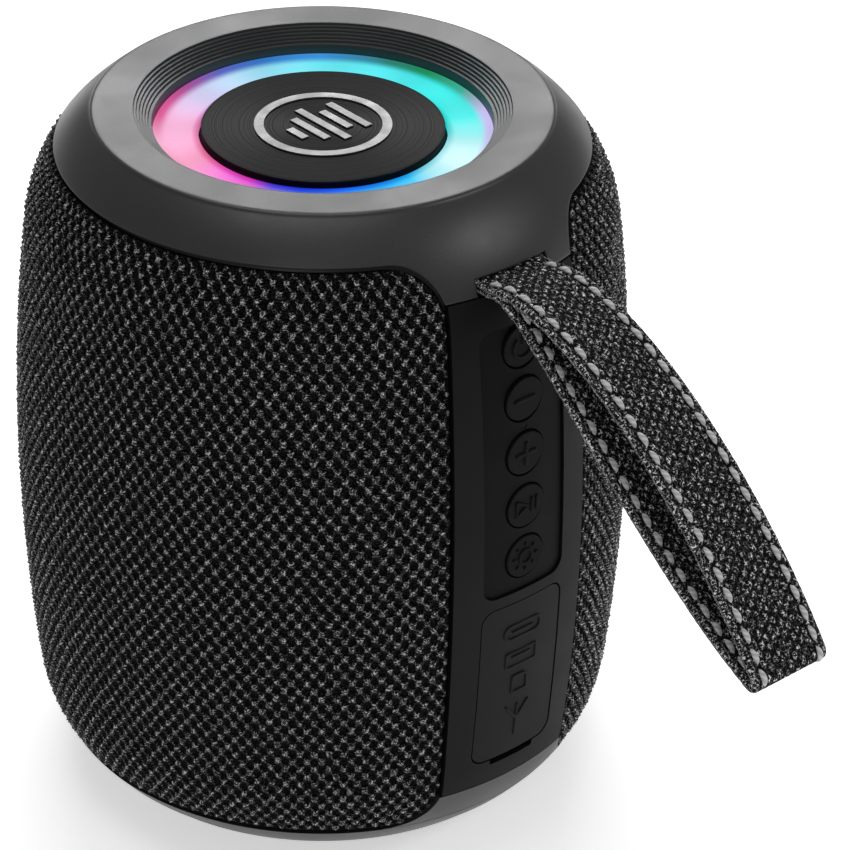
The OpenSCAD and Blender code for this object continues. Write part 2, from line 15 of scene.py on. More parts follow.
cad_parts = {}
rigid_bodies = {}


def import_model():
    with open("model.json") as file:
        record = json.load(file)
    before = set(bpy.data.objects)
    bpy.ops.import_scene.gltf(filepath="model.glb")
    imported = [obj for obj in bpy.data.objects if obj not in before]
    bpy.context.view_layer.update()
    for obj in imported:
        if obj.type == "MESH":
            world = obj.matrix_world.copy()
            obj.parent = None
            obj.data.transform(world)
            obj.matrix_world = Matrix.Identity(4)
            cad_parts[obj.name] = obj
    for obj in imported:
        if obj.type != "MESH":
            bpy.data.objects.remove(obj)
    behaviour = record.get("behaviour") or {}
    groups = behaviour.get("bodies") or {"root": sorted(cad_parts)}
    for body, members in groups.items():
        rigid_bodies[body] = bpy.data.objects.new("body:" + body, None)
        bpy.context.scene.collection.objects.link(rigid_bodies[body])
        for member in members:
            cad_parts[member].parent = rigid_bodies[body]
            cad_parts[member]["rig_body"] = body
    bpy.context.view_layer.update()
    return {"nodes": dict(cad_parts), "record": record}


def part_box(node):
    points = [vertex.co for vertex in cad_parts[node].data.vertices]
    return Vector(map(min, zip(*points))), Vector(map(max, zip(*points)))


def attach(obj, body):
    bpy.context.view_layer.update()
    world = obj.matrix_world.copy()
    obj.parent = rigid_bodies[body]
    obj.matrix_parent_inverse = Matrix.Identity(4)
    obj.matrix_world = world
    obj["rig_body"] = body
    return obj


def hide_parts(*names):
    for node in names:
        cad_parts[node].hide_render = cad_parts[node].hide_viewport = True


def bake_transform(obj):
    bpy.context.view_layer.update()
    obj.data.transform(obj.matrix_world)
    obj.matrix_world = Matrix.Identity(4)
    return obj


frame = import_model()

MM = 0.001


def node_box(node):
    """Lowest and highest corner of a CAD node, in millimetres."""
    return [np.array(corner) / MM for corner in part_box(node)]


# ---- sizes from the frame ---------------------------------------------------------------

BODY_H = node_box("top_collar")[1][2]
BARREL_R = round(node_box("grille_fabric")[1][0], 1)
CLOTH_LOW, CLOTH_HIGH = node_box("grille_fabric")[0][2], node_box("grille_fabric")[1][2]
SPINE_HIGH = node_box("spine_panel")[1][2]
LIP_R = node_box("light_ring")[1][0] - 1.4
PLATE_FACE = node_box("radiator_plate")[1][2]
PLATE_R = node_box("radiator_rim")[1][0]
STRAP_HALF = node_box("strap_loop")[1][0]
SLOT_TOP = node_box("strap_tail")[1][2] - 1.0

# The outline of the barrel: three arcs, tangent to each other.
BARREL_ARC = 350.0
BARREL_MID = 57.0
SHOULDER_ARC = 26.0
TOP_RING_R = 36.0
HEEL_ARC = 22.0
UNDERSIDE_R = 32.3

SPINE_HALF = 15.65
WINDOW_CORNER = 8.5
FUNNEL_R = 29.7
GROOVES = 6
GROOVE_DROP = 0.42


def circles_meet(a, ra, b, rb, side):
    """The point where two circles meet, on the left (1) or right (-1) of the line a to b."""
    a, b = np.array(a, float), np.array(b, float)
    d = np.linalg.norm(b - a)
    along = (ra * ra - rb * rb + d * d) / (2 * d)
    off = math.sqrt(ra * ra - along * along)
    u = (b - a) / d
    return a + along * u + side * off * np.array([-u[1], u[0]])


BARREL_C = np.array([BARREL_R - BARREL_ARC, BARREL_MID])
SHOULDER_C = circles_meet(BARREL_C, BARREL_ARC - SHOULDER_ARC, (TOP_RING_R, BODY_H), SHOULDER_ARC, -1)
HEEL_C = circles_meet(BARREL_C, BARREL_ARC - HEEL_ARC, (UNDERSIDE_R, 0), HEEL_ARC, 1)


def arc_at(z, depth):
    """Centre and radius of the outline's arc at height z, the radius cut by depth.

    The shoulder takes over above the line from the barrel's centre through the shoulder's
    centre, and the heel below the line through the heel's centre."""
    z = np.asarray(z, float)
    centre_r = np.full(z.shape, BARREL_C[0])
    centre_z = np.full(z.shape, BARREL_C[1])
    radius = np.full(z.shape, BARREL_ARC)
    for centre, arc, side in ((SHOULDER_C, SHOULDER_ARC, 1), (HEEL_C, HEEL_ARC, -1)):
        slope = (centre[1] - BARREL_C[1]) / (BARREL_ARC - arc)
        beyond = side * (z - BARREL_C[1] - (BARREL_ARC - depth) * slope) > 0
        centre_r = np.where(beyond, centre[0], centre_r)
        centre_z = np.where(beyond, centre[1], centre_z)
        radius = np.where(beyond, arc, radius)
    return centre_r, centre_z, radius - depth


def skin(z, depth=0.0):
    """Radius of the outer surface at height z, moved in by depth along its normal."""
    centre_r, centre_z, radius = arc_at(z, depth)
    return centre_r + np.sqrt(np.maximum(radius**2 - (z - centre_z) ** 2, 0))


def skin_run(low, high, count):
    """Radius, height and outward normal at count places, evenly spaced along the surface."""
    z = np.linspace(low, high, 4000)
    length = np.concatenate([[0], np.cumsum(np.hypot(np.diff(skin(z)), np.diff(z)))])
    z = np.interp(np.linspace(0, length[-1], count), length, z)
    r = skin(z)
    centre_r, centre_z, radius = arc_at(z, 0.0)
    return r, z, (r - centre_r) / radius, (z - centre_z) / radius, length[-1]


def turned(r, z, angle):
    """Points at radius r and height z, turned angle degrees from the spine."""
    a = np.radians(angle)
    r, z, a = np.broadcast_arrays(r, z, a)
    return np.stack([r * np.sin(a), -r * np.cos(a), z], -1)


def on_front(x, z, depth=0.0):
    """The point of the surface at depth that lies at x and z on the spine's side."""
    x, z = np.broadcast_arrays(np.asarray(x, float), np.asarray(z, float))
    return np.stack([x, -np.sqrt(skin(z, depth) ** 2 - x * x), z], -1)


# ---- meshes -----------------------------------------------------------------------------


def quads(rows, columns, wrap_rows=False, wrap_columns=False):
    """Faces of a grid of points, each the four numbers of its corners."""
    r = np.arange(rows if wrap_rows else rows - 1)
    c = np.arange(columns if wrap_columns else columns - 1)
    r, c = np.meshgrid(r, c, indexing="ij")
    up, on = (r + 1) % rows, (c + 1) % columns
    corners = [r * columns + c, r * columns + on, up * columns + on, up * columns + c]
    return np.stack(corners, -1).reshape(-1, 4)


def surface(points, wrap_rows=False, wrap_columns=False, **extra):
    """A grid of points as one surface. extra holds values for each point, such as uv."""
    rows, columns = points.shape[:2]
    return {"points": points.reshape(-1, 3), "faces": quads(rows, columns, wrap_rows, wrap_columns), **extra}


def lathe(section, steps=256, closed=True):
    """A section of (radius, height) points carried round the axis. An outline runs up outside."""
    section = np.array(section, float)
    angles = np.arange(steps) * 360 / steps
    points = turned(section[:, :1], section[:, 1:], angles[None, :])
    return surface(points, wrap_rows=closed, wrap_columns=True)


def joined_mesh(name, surfaces):
    """One mesh from several surfaces, with their uv maps, values and colours where they have any."""
    points = np.concatenate([s["points"] for s in surfaces]) * MM
    starts = np.cumsum([0] + [len(s["points"]) for s in surfaces])
    faces = np.concatenate([s["faces"] + n for s, n in zip(surfaces, starts)])
    mesh = bpy.data.meshes.new(name)
    mesh.vertices.add(len(points))
    mesh.vertices.foreach_set("co", points.astype(np.float32).ravel())
    mesh.loops.add(faces.size)
    mesh.loops.foreach_set("vertex_index", faces.astype(np.int32).ravel())
    mesh.polygons.add(len(faces))
    mesh.polygons.foreach_set("loop_start", np.arange(0, faces.size, 4, dtype=np.int32))
    mesh.update(calc_edges=True)
    if "uv" in surfaces[0]:
        uv = np.concatenate([s["uv"].reshape(-1, 2) for s in surfaces])
        layer = mesh.uv_layers.new(name="cloth")
        layer.data.foreach_set("uv", uv[faces.ravel()].astype(np.float32).ravel())
    if "lift" in surfaces[0]:
        lift = np.concatenate([s["lift"].ravel() for s in surfaces])
        layer = mesh.attributes.new("lift", "FLOAT", "POINT")
        layer.data.foreach_set("value", lift.astype(np.float32))
    if "glow" in surfaces[0]:
        glow = np.concatenate([s["glow"].reshape(-1, 4) for s in surfaces])
        layer = mesh.attributes.new("glow", "FLOAT_COLOR", "POINT")
        layer.data.foreach_set("color", glow.astype(np.float32).ravel())
    return mesh


def place(mesh, name, finish, body, stands_for=(), sharp=35):
    """Puts a mesh in the scene as a piece: its finish, its smooth shading and what it rides on."""
    mesh.validate()
    mesh.materials.clear()
    mesh.materials.append(finish)
    mesh.shade_smooth()
    mesh.set_sharp_from_angle(angle=math.radians(sharp))
    piece = bpy.data.objects.new(name, mesh)
    bpy.context.scene.collection.objects.link(piece)
    if body:
        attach(piece, body)
    if stands_for:
        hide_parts(*stands_for)
    return piece


def merged(mesh, distance=1e-6):
    """Merges a mesh's doubles, as at the pole of a lathe, and drops faces that vanish."""
    work = bmesh.new()
    work.from_mesh(mesh)
    bmesh.ops.remove_doubles(work, verts=work.verts, dist=distance)
    bmesh.ops.dissolve_degenerate(work, edges=work.edges, dist=distance)
    work.to_mesh(mesh)
    work.free()
    return mesh


def finished_copy(node, finish, edge, name=None, sharp=30):
    """A CAD node's own shape with its triangles merged and its edges rounded by edge millimetres."""
    source = frame["nodes"][node]
    mesh = source.data.copy()
    if "custom_normal" in mesh.attributes:
        mesh.attributes.remove(mesh.attributes["custom_normal"])
    work = bmesh.new()
    work.from_mesh(mesh)
    bmesh.ops.remove_doubles(work, verts=work.verts, dist=2e-6)
    bmesh.ops.dissolve_limit(work, angle_limit=math.radians(0.3), verts=work.verts, edges=work.edges)
    work.to_mesh(mesh)
    work.free()
    piece = place(mesh, name or node + "_piece", finish, source["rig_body"], [node], sharp)
    if edge:
        bevel = piece.modifiers.new("rounded edges", "BEVEL")
        bevel.width = edge * MM
        bevel.segments = 3
        bevel.limit_method = "ANGLE"
        bevel.angle_limit = math.radians(sharp)
        bevel.harden_normals = True
    return piece


# ---- finishes ---------------------------------------------------------------------------


class Finish:
    """A material, with short calls for the textures that the finishes share."""

    def __init__(self, name, colour, roughness, **constants):
        """A new material with its colour, its roughness and any other of the shader's constants."""
        self.material = bpy.data.materials.new(name)
        self.material.use_nodes = True
        self.tree = self.material.node_tree
        self.shader = self.tree.nodes["Principled BSDF"]
        self.shader.inputs["Base Color"].default_value = (*colour, 1)
        self.shader.inputs["Roughness"].default_value = roughness
        for socket, value in constants.items():
            self.shader.inputs[socket.replace("_", " ")].default_value = value
        self.normal = None

    def add(self, kind, settings=(), **inputs):
        """A node with its settings, and its inputs given as numbers or as other nodes' outputs."""
        node = self.tree.nodes.new("ShaderNode" + kind)
        for key, value in dict(settings).items():
            setattr(node, key, value)
        for socket, value in inputs.items():
            place_in = node.inputs[int(socket[1:]) if socket[1:].isdigit() else socket.replace("_", " ")]
            if isinstance(value, bpy.types.NodeSocket):
                self.tree.links.new(value, place_in)
            else:
                place_in.default_value = value
        return node

    def coords(self, kind="Object", scale=(1, 1, 1), turn=(0, 0, 0)):
        """Object or UV coordinates, turned and scaled."""
        source = self.add("TexCoord").outputs[kind]
        return self.add("Mapping", Vector=source, Rotation=turn, Scale=scale).outputs[0]

    def noise(self, vector, scale, detail=2.0, rough=0.5):
        """Noise from 0 to 1 at a place."""
        return self.add("TexNoise", Vector=vector, Scale=scale, Detail=detail, Roughness=rough).outputs["Fac"]

    def range(self, value, low, high, to_low, to_high):
        """value between low and high, carried over to the range to_low to to_high."""
        node = self.add("MapRange", Value=value, From_Min=low, From_Max=high, To_Min=to_low, To_Max=to_high)
        return node.outputs[0]

    def calc(self, operation, a, b=0.0):
        """One sum on two values."""
        return self.add("Math", {"operation": operation}, _0=a, _1=b).outputs[0]

    def mix(self, share, a, b):
        """Colour a where share is 0, and b where it is 1."""
        node = self.add("Mix", {"data_type": "RGBA"})
        for socket, value in ((0, share), (6, a), (7, b)):
            if isinstance(value, bpy.types.NodeSocket):
                self.tree.links.new(value, node.inputs[socket])
            else:
                node.inputs[socket].default_value = value
        return node.outputs[2]

    def colour(self, value):
        """Sets the colour that the surface takes."""
        self.tree.links.new(value, self.shader.inputs["Base Color"])

    def rough(self, value):
        """Sets the roughness that the surface takes."""
        self.tree.links.new(value, self.shader.inputs["Roughness"])

    def bump(self, height, strength, distance):
        """Adds relief of distance millimetres on top of any before it."""
        node = self.add("Bump", Height=height, Strength=strength, Distance=distance * MM)
        if self.normal is not None:
            self.tree.links.new(self.normal, node.inputs["Normal"])
        self.normal = node.outputs[0]
        self.tree.links.new(self.normal, self.shader.inputs["Normal"])


def moulded_plastic(name, colour, roughness, grain=0.03, fleck=0.25, shine=0.5):
    """Spark-eroded moulding: fine even grain, slight mottling and a little wear in its gloss."""
    finish = Finish(name, colour, roughness, Specular_IOR_Level=shine)
    at = finish.coords()
    fine = finish.noise(at, 5200, 3, 0.65)
    broad = finish.noise(at, 60, 4, 0.6)
    dark = (*[c * (1 - fleck) for c in colour], 1)
    light = (*[c * (1 + fleck) for c in colour], 1)
    finish.colour(finish.mix(finish.range(fine, 0.3, 0.7, 0, 1), dark, light))
    finish.rough(finish.range(broad, 0.3, 0.7, roughness - 0.05, roughness + 0.07))
    finish.bump(fine, 0.6, grain)
    return finish.material


def soft_rubber(name, colour, roughness=0.6, shine=0.07):
    """Matte silicone: a very fine tooth, a faint bloom and dust in patches."""
    finish = Finish(name, colour, roughness, Specular_IOR_Level=shine)
    at = finish.coords()
    fine = finish.noise(at, 7500, 2, 0.6)
    bloom = finish.noise(at, 140, 5, 0.7)
    pale = (*[c * 1.7 + 0.004 for c in colour], 1)
    finish.colour(finish.mix(finish.range(bloom, 0.45, 0.8, 0, 0.5), (*colour, 1), pale))
    finish.rough(finish.range(bloom, 0.3, 0.7, roughness - 0.06, roughness + 0.08))
    finish.bump(fine, 0.5, 0.02)
    return finish.material


def knit_cloth():
    """Stretched black knit whose colour holds painted light: white painted glints on the raised yarns, grey
    painted highlights on the crowns of the knots and painted shade in the dark holes.
    """
    finish = Finish("knit_cloth", (0.01, 0.01, 0.01), 0.55, Specular_IOR_Level=0.02)
    lift = finish.add("Attribute", {"attribute_name": "lift"}).outputs["Fac"]
    down_yarn = finish.coords("UV", (1.5, 5.5, 1), (0, 0, math.radians(38)))
    up_yarn = finish.coords("UV", (1.5, 5.5, 1), (0, 0, math.radians(-35)))
    strands = finish.calc("MAXIMUM", finish.noise(down_yarn, 1.0, 2, 0.6), finish.noise(up_yarn, 1.0, 2, 0.6))
    speck = finish.noise(finish.coords("UV"), 3.0, 2, 0.7)
    # Painted glints: pale flecks along the yarns' strands and in a fine speckle.
    flecks_and_glints = finish.calc("MAXIMUM", finish.range(strands, 0.61, 0.68, 0, 1),
                        finish.range(speck, 0.55, 0.61, 0, 1))
    # The painted glints show mostly where lift, the painted highlight strength from knit(), is high.
    crown = finish.range(lift, 0.12, 0.6, 0.03, 1)
    painted_crown_highlight = finish.calc("MULTIPLY", flecks_and_glints, crown)
    # Painted shade and painted highlight: near black where lift is low, in the holes, and grey on the crowns.
    body = finish.mix(finish.range(lift, 0.3, 1, 0, 1), (0.001, 0.001, 0.001, 1), (0.05, 0.05, 0.051, 1))
    finish.colour(finish.mix(painted_crown_highlight, body, (0.66, 0.66, 0.67, 1)))
    finish.rough(finish.range(speck, 0.3, 0.7, 0.45, 0.65))
    finish.bump(strands, 0.9, 0.12)
    return finish.material


def heather_webbing():
    """Dark grey mottled webbing: pale flecks of its heathered yarn, shown mostly on the crowns of its bumps
    as a painted highlight, speckled yarn between them, and painted shade in the gaps between the bumps.
    """
    finish = Finish("heather_webbing", (0.03, 0.03, 0.03), 0.7, Specular_IOR_Level=0.02)
    lift = finish.add("Attribute", {"attribute_name": "lift"}).outputs["Fac"]
    speck = finish.noise(finish.coords("UV"), 2.7, 2, 0.75)
    fibre = finish.noise(finish.coords("UV", (1.8, 5.5, 1), (0, 0, 0.6)), 1.0, 2, 0.6)
    heather = finish.noise(finish.coords("UV"), 0.55, 2, 0.6)
    flecks_and_glints = finish.calc("MAXIMUM", finish.range(speck, 0.54, 0.59, 0, 1),
                        finish.range(fibre, 0.61, 0.69, 0, 1))
    # The pale flecks are real heather yarn, but they show mostly on the crowns of the bumps, a painted
    # highlight.
    crown = finish.range(lift, 0.16, 0.55, 0.06, 1)
    patch = finish.range(heather, 0.38, 0.52, 0.5, 1)
    painted_crown_highlight = finish.calc("MULTIPLY", finish.calc("MULTIPLY", flecks_and_glints, crown), patch)
    # Painted shade: near black in the gaps between the bumps, where lift is low.
    body = finish.mix(lift, (0.002, 0.002, 0.002, 1), (0.022, 0.022, 0.0225, 1))
    finish.colour(finish.mix(painted_crown_highlight, body, (0.93, 0.93, 0.94, 1)))
    finish.bump(speck, 0.7, 0.14)
    finish.bump(fibre, 0.5, 0.06)
    return finish.material


def sewing_thread():
    """Thick pale grey thread: plies that wind round the stitch."""
    finish = Finish("sewing_thread", (0.42, 0.42, 0.43), 0.55, Specular_IOR_Level=0.4, Sheen_Weight=0.25)
    plies = finish.add("TexWave", {"wave_type": "BANDS", "bands_direction": "DIAGONAL"},
                       Vector=finish.coords("UV"), Scale=0.32, Distortion=1.5, Detail=2.0).outputs["Fac"]
    fuzz = finish.noise(finish.coords("UV"), 6.0, 3, 0.7)
    shade = finish.calc("MULTIPLY", plies, fuzz)
    finish.colour(finish.mix(shade, (0.4, 0.4, 0.405, 1), (0.84, 0.84, 0.85, 1)))
    finish.bump(plies, 0.35, 0.05)
    return finish.material


def lit_diffuser():
    """Frosted ring with the light of coloured LEDs under it, as its glow colours say."""
    finish = Finish("lit_diffuser", (0.75, 0.78, 0.82), 0.4, Specular_IOR_Level=0.08,
                    Emission_Strength=0.95)
    glow = finish.add("Attribute", {"attribute_name": "glow"}).outputs["Color"]
    frost = finish.noise(finish.coords(), 2600, 3, 0.6)
    finish.tree.links.new(glow, finish.shader.inputs["Emission Color"])
    dim = finish.add("Mix", {"data_type": "RGBA", "blend_type": "MULTIPLY"})
    dim.inputs[0].default_value = 1.0
    finish.tree.links.new(glow, dim.inputs[6])
    dim.inputs[7].default_value = (0.03, 0.03, 0.03, 1)
    finish.colour(dim.outputs[2])
    finish.bump(frost, 0.25, 0.02)
    return finish.material


def spun_metal():
    """Black anodised plate, faced on a lathe: fine rings about the axis and a fan of light."""
    finish = Finish("spun_metal", (0.010, 0.010, 0.0103), 0.3, Metallic=1.0, Anisotropic=0.85,
                    Anisotropic_Rotation=0.25, Specular_Tint=(0.5, 0.5, 0.5, 1))
    at = finish.coords()
    rings = finish.add("TexWave", {"wave_type": "RINGS", "rings_direction": "Z"}, Vector=at, Scale=420.0,
                       Distortion=0.0, Detail=0.0).outputs["Fac"]
    flat = finish.coords(scale=(1, 1, 0))
    distance = finish.add("VectorMath", {"operation": "LENGTH"}, _0=flat).outputs["Value"]
    tool = finish.add("TexNoise", {"noise_dimensions": "1D"}, W=distance, Scale=4200.0, Detail=3.0,
                      Roughness=0.8).outputs["Fac"]
    shade = finish.range(tool, 0.3, 0.7, 0, 1)
    finish.colour(finish.mix(shade, (0.005, 0.005, 0.0052, 1), (0.027, 0.027, 0.0276, 1)))
    finish.rough(finish.range(tool, 0.3, 0.7, 0.24, 0.42))
    tangent = finish.add("Tangent", {"direction_type": "RADIAL", "axis": "Z"}).outputs[0]
    finish.tree.links.new(tangent, finish.shader.inputs["Tangent"])
    finish.bump(rings, 0.2, 0.015)
    finish.bump(tool, 0.15, 0.008)
    return finish.material


def satin_metal(name, colour, roughness, fleck=0.15):
    """Metal with a soft brushed or plated face and slightly uneven gloss."""
    finish = Finish(name, colour, roughness, Metallic=1.0)
    at = finish.coords()
    streak = finish.noise(finish.coords(scale=(1, 12, 1)), 900, 3, 0.6)
    cloud = finish.noise(at, 300, 4, 0.6)
    dark = (*[c * (1 - fleck) for c in colour], 1)
    finish.colour(finish.mix(finish.range(streak, 0.3, 0.7, 0, 1), dark, (*colour, 1)))
    finish.rough(finish.range(cloud, 0.3, 0.7, roughness - 0.06, roughness + 0.1))
    finish.bump(streak, 0.3, 0.01)
    return finish.material


def circuit_board():
    """Green solder mask over copper tracks, with their edges raised."""
    finish = Finish("circuit_board", (0.02, 0.12, 0.05), 0.35, Coat_Weight=0.4)
    at = finish.coords(scale=(1, 0.2, 1))
    tracks = finish.add("TexVoronoi", {"feature": "DISTANCE_TO_EDGE", "distance": "MANHATTAN"}, Vector=at,
                        Scale=420.0).outputs["Distance"]
    line = finish.range(tracks, 0.03, 0.09, 1, 0)
    finish.colour(finish.mix(line, (0.012, 0.085, 0.035, 1), (0.05, 0.22, 0.09, 1)))
    finish.bump(line, 0.4, 0.04)
    return finish.material


def spider_cloth():
    """Open weave set with resin."""
    finish = Finish("spider_cloth", (0.55, 0.36, 0.14), 0.7, Sheen_Weight=0.2)
    weave = finish.add("TexWave", {"wave_type": "BANDS", "bands_direction": "DIAGONAL"},
                       Vector=finish.coords(), Scale=900.0, Distortion=0.3).outputs["Fac"]
    finish.colour(finish.mix(weave, (0.34, 0.2, 0.07, 1), (0.66, 0.45, 0.2, 1)))
    finish.bump(weave, 0.6, 0.06)
    return finish.material


def pressed_paper():
    """Black paper cone with felted fibres."""
    finish = Finish("pressed_paper", (0.03, 0.03, 0.034), 0.75, Sheen_Weight=0.15)
    fibre = finish.noise(finish.coords(), 1500, 5, 0.75)
    shade = finish.range(fibre, 0.35, 0.75, 0, 1)
    finish.colour(finish.mix(shade, (0.018, 0.018, 0.02, 1), (0.07, 0.07, 0.075, 1)))
    finish.bump(fibre, 0.6, 0.06)
    return finish.material


def wound_copper():
    """Fine enamelled wire wound on the coil former, along the driver's axis."""
    finish = Finish("wound_copper", (0.75, 0.32, 0.14), 0.3, Metallic=1.0)
    wire = finish.add("TexWave", {"wave_type": "BANDS", "bands_direction": "Y"}, Vector=finish.coords(),
                      Scale=1250.0).outputs["Fac"]
    finish.colour(finish.mix(wire, (0.35, 0.13, 0.05, 1), (0.85, 0.4, 0.2, 1)))
    finish.bump(wire, 0.8, 0.08)
    return finish.material


def shrink_sleeve():
    """Glossy blue film shrunk over the cell, slightly rippled."""
    finish = Finish("shrink_sleeve", (0.04, 0.17, 0.45), 0.25, Coat_Weight=0.5)
    ripple = finish.noise(finish.coords(scale=(0.3, 1, 1)), 260, 3, 0.5)
    finish.colour(finish.mix(finish.range(ripple, 0.3, 0.7, 0, 1), (0.03, 0.14, 0.4, 1), (0.05, 0.2, 0.5, 1)))
    finish.bump(ripple, 0.4, 0.15)
    return finish.material


def cast_led():
    """Clear casting over yellow phosphor."""
    finish = Finish("cast_led", (0.9, 0.8, 0.35), 0.2, Coat_Weight=0.6)
    grain = finish.noise(finish.coords(), 2600, 3, 0.7)
    shade = finish.range(grain, 0.35, 0.65, 0, 1)
    finish.colour(finish.mix(shade, (0.8, 0.62, 0.2, 1), (0.95, 0.88, 0.5, 1)))
    return finish.material


FINISHES = {
    "collar": moulded_plastic("collar_plastic", (0.025, 0.025, 0.0255), 0.37, 0.035),
    "shell": moulded_plastic("shell_plastic", (0.012, 0.012, 0.0125), 0.5, 0.03, shine=0.3),
    "spine": moulded_plastic("spine_plastic", (0.006, 0.006, 0.0062), 0.5, 0.03, shine=0.10),
    "tray": moulded_plastic("white_tray", (0.82, 0.82, 0.82), 0.45, 0.02, 0.03),
    "chip": moulded_plastic("black_epoxy", (0.02, 0.02, 0.02), 0.4, 0.02),
    # cover: the rubber made lighter than the keypad's, a painted reflection of the floor on the spine's lower
    # part.
    "cover": soft_rubber("cover_rubber", (0.0085, 0.0085, 0.0087), shine=0.13),
    "base": moulded_plastic("base_plastic", (0.03, 0.03, 0.0305), 0.42, 0.03, shine=0.6),
    "rubber": soft_rubber("soft_rubber", (0.0045, 0.0045, 0.0047)),
    "fabric": knit_cloth(),
    "webbing": heather_webbing(),
    "diffuser": lit_diffuser(),
    "plate": spun_metal(),
    "emblem": satin_metal("satin_emblem", (0.27, 0.27, 0.274), 0.5, 0.06),
    "steel": satin_metal("plated_steel", (0.56, 0.56, 0.57), 0.32),
    "magnet": moulded_plastic("sintered_ferrite", (0.06, 0.06, 0.065), 0.55, 0.05),
    "board": circuit_board(),
    "led": cast_led(),
    "cone": pressed_paper(),
    "spider": spider_cloth(),
    "coil": wound_copper(),
    "battery": shrink_sleeve(),
}
THREAD = sewing_thread()
SLOT_OF = {row["node"]: row["material_slot"] for row in frame["record"]["subparts"]}

for node_name, node_object in frame["nodes"].items():
    node_object.data.materials.clear()
    node_object.data.materials.append(FINISHES[SLOT_OF[node_name]])


# ---- collar with its stepped funnel -----------------------------------------------------


def window_edge(angle):
    """Height of the collar's lower edge at an angle from the spine.

    It is the cloth's upper edge, which comes down a quarter circle to the spine's side. Over the
    spine it is the seam with the spine panel, and across the strap's slot the slot's top."""
    away = np.abs(angle)
    beyond = skin(107.0) * np.sin(np.radians(np.clip(away - SPINE_HALF, 0, 60)))
    corner = np.sqrt(np.maximum(WINDOW_CORNER**2 - np.clip(WINDOW_CORNER - beyond, 0, None) ** 2, 0))
    edge = np.minimum(CLOTH_HIGH + 0.2 - WINDOW_CORNER + corner, CLOTH_HIGH + 0.2)
    edge = np.where(away <= SPINE_HALF + 1e-6, SPINE_HIGH + 0.2, np.maximum(edge, SPINE_HIGH + 0.2))
    return edge


def collar_angles():
    """Angles round the collar: even steps, closer together at the window's corners, and a pair
    at each side of the slot and of the tab, so that their edges are square."""
    slot = math.degrees(math.asin((STRAP_HALF + 0.25) / skin(SLOT_TOP)))
    corner_end = SPINE_HALF + math.degrees(math.asin(WINDOW_CORNER / skin(107.0)))
    half = np.concatenate([
        np.linspace(0, slot - 0.01, 10),
        np.linspace(slot + 0.01, SPINE_HALF, 8),
        SPINE_HALF + 0.01 + (corner_end - SPINE_HALF) * (1 - np.cos(np.linspace(0, math.pi / 2, 24))),
        np.linspace(corner_end + 1.2, 180, 150),
    ])
    return np.concatenate([half, -half[-2:0:-1]]), slot


def collar():
    """The collar's section carried round the axis, its lower edge at window_edge(angle).

    The rows of the outside are level, and stop at that edge. Outside it follows the barrel's
    outline up to a small round edge at the flat top ring. Inside it goes down GROOVES rounded
    steps to the lip, and back up behind the funnel to the skirt."""
    angles, slot = collar_angles()
    in_slot = np.abs(angles) < slot
    low = np.where(in_slot, SLOT_TOP + 0.2, window_edge(angles))
    skirt = np.where(in_slot, SLOT_TOP + 0.2, 104.2)
    edge = 0.25
    top = BODY_H - 0.3
    rows = [[skin(low + 0.0, edge), low]]
    for turn in np.radians([30, 60]):
        rows.append([skin(low + edge * (1 - math.cos(turn)), edge * (1 - math.sin(turn))),
                     low + edge * (1 - math.cos(turn))])
    for ladder in np.linspace(SPINE_HIGH + 0.45, top, 42):
        z = np.maximum(ladder, low + edge)
        rows.append([skin(z), z])
    start, end = skin(top), float(skin(BODY_H)) - 0.3
    for turn in np.radians([22, 45, 68]):
        rows.append([end + (start - end) * math.cos(turn), top + 0.3 * math.sin(turn)])
    rows += [[end, BODY_H], [end - 0.5, BODY_H], [(end + FUNNEL_R) / 2, BODY_H], [FUNNEL_R + 0.5, BODY_H]]
    step = (FUNNEL_R - LIP_R - 0.2) / GROOVES
    for i in range(GROOVES):
        r, z = FUNNEL_R - step * i, BODY_H - GROOVE_DROP * i
        rows += [[r + 0.05, z], [r, z - 0.02], [r - 0.02, z - 0.06], [r - 0.07, z - GROOVE_DROP + 0.03],
                 [r - 0.12, z - GROOVE_DROP]]
    bottom = BODY_H - GROOVE_DROP * GROOVES
    rows += [[LIP_R + 0.2, bottom], [LIP_R + 0.06, bottom - 0.06], [LIP_R, bottom - 0.2], [LIP_R, 113.6],
             [28.4, 113.6], [28.4, 105.6], [29.9, 105.6], [29.9, 115.6], [skin(115.4, 3.7), 115.6]]
    inner = 115.2 + (skirt - 115.2) * np.linspace(0, 1, 8)[:, None]
    rows += [[skin(z, 3.7), z] for z in inner]
    rows += [[skin(skirt, 1.5), skirt], [skin(low, 1.5), low]]
    shape = angles.shape
    ring = [turned(np.broadcast_to(r, shape), np.broadcast_to(z, shape), angles) for r, z in rows]
    return surface(np.stack(ring), wrap_rows=True, wrap_columns=True)


place(merged(joined_mesh("collar", [collar()])), "collar", FINISHES["collar"], "housing",
      ["top_collar"], 32)


# ---- knitted sleeve ---------------------------------------------------------------------

WALE = 2.75
COURSE = 1.6
CLOTH_T = 1.15
PANELS = 5
CLOTH_ROWS = 400
PANEL_COLUMNS = 200


def knot_value(i, j, seed):
    """A value from 0 to 1 that looks random, the same each time for knot i, j."""
    wave = np.sin(i * 127.1 + j * 311.7 + seed * 74.7) * 43758.5453
    return wave - np.floor(wave)


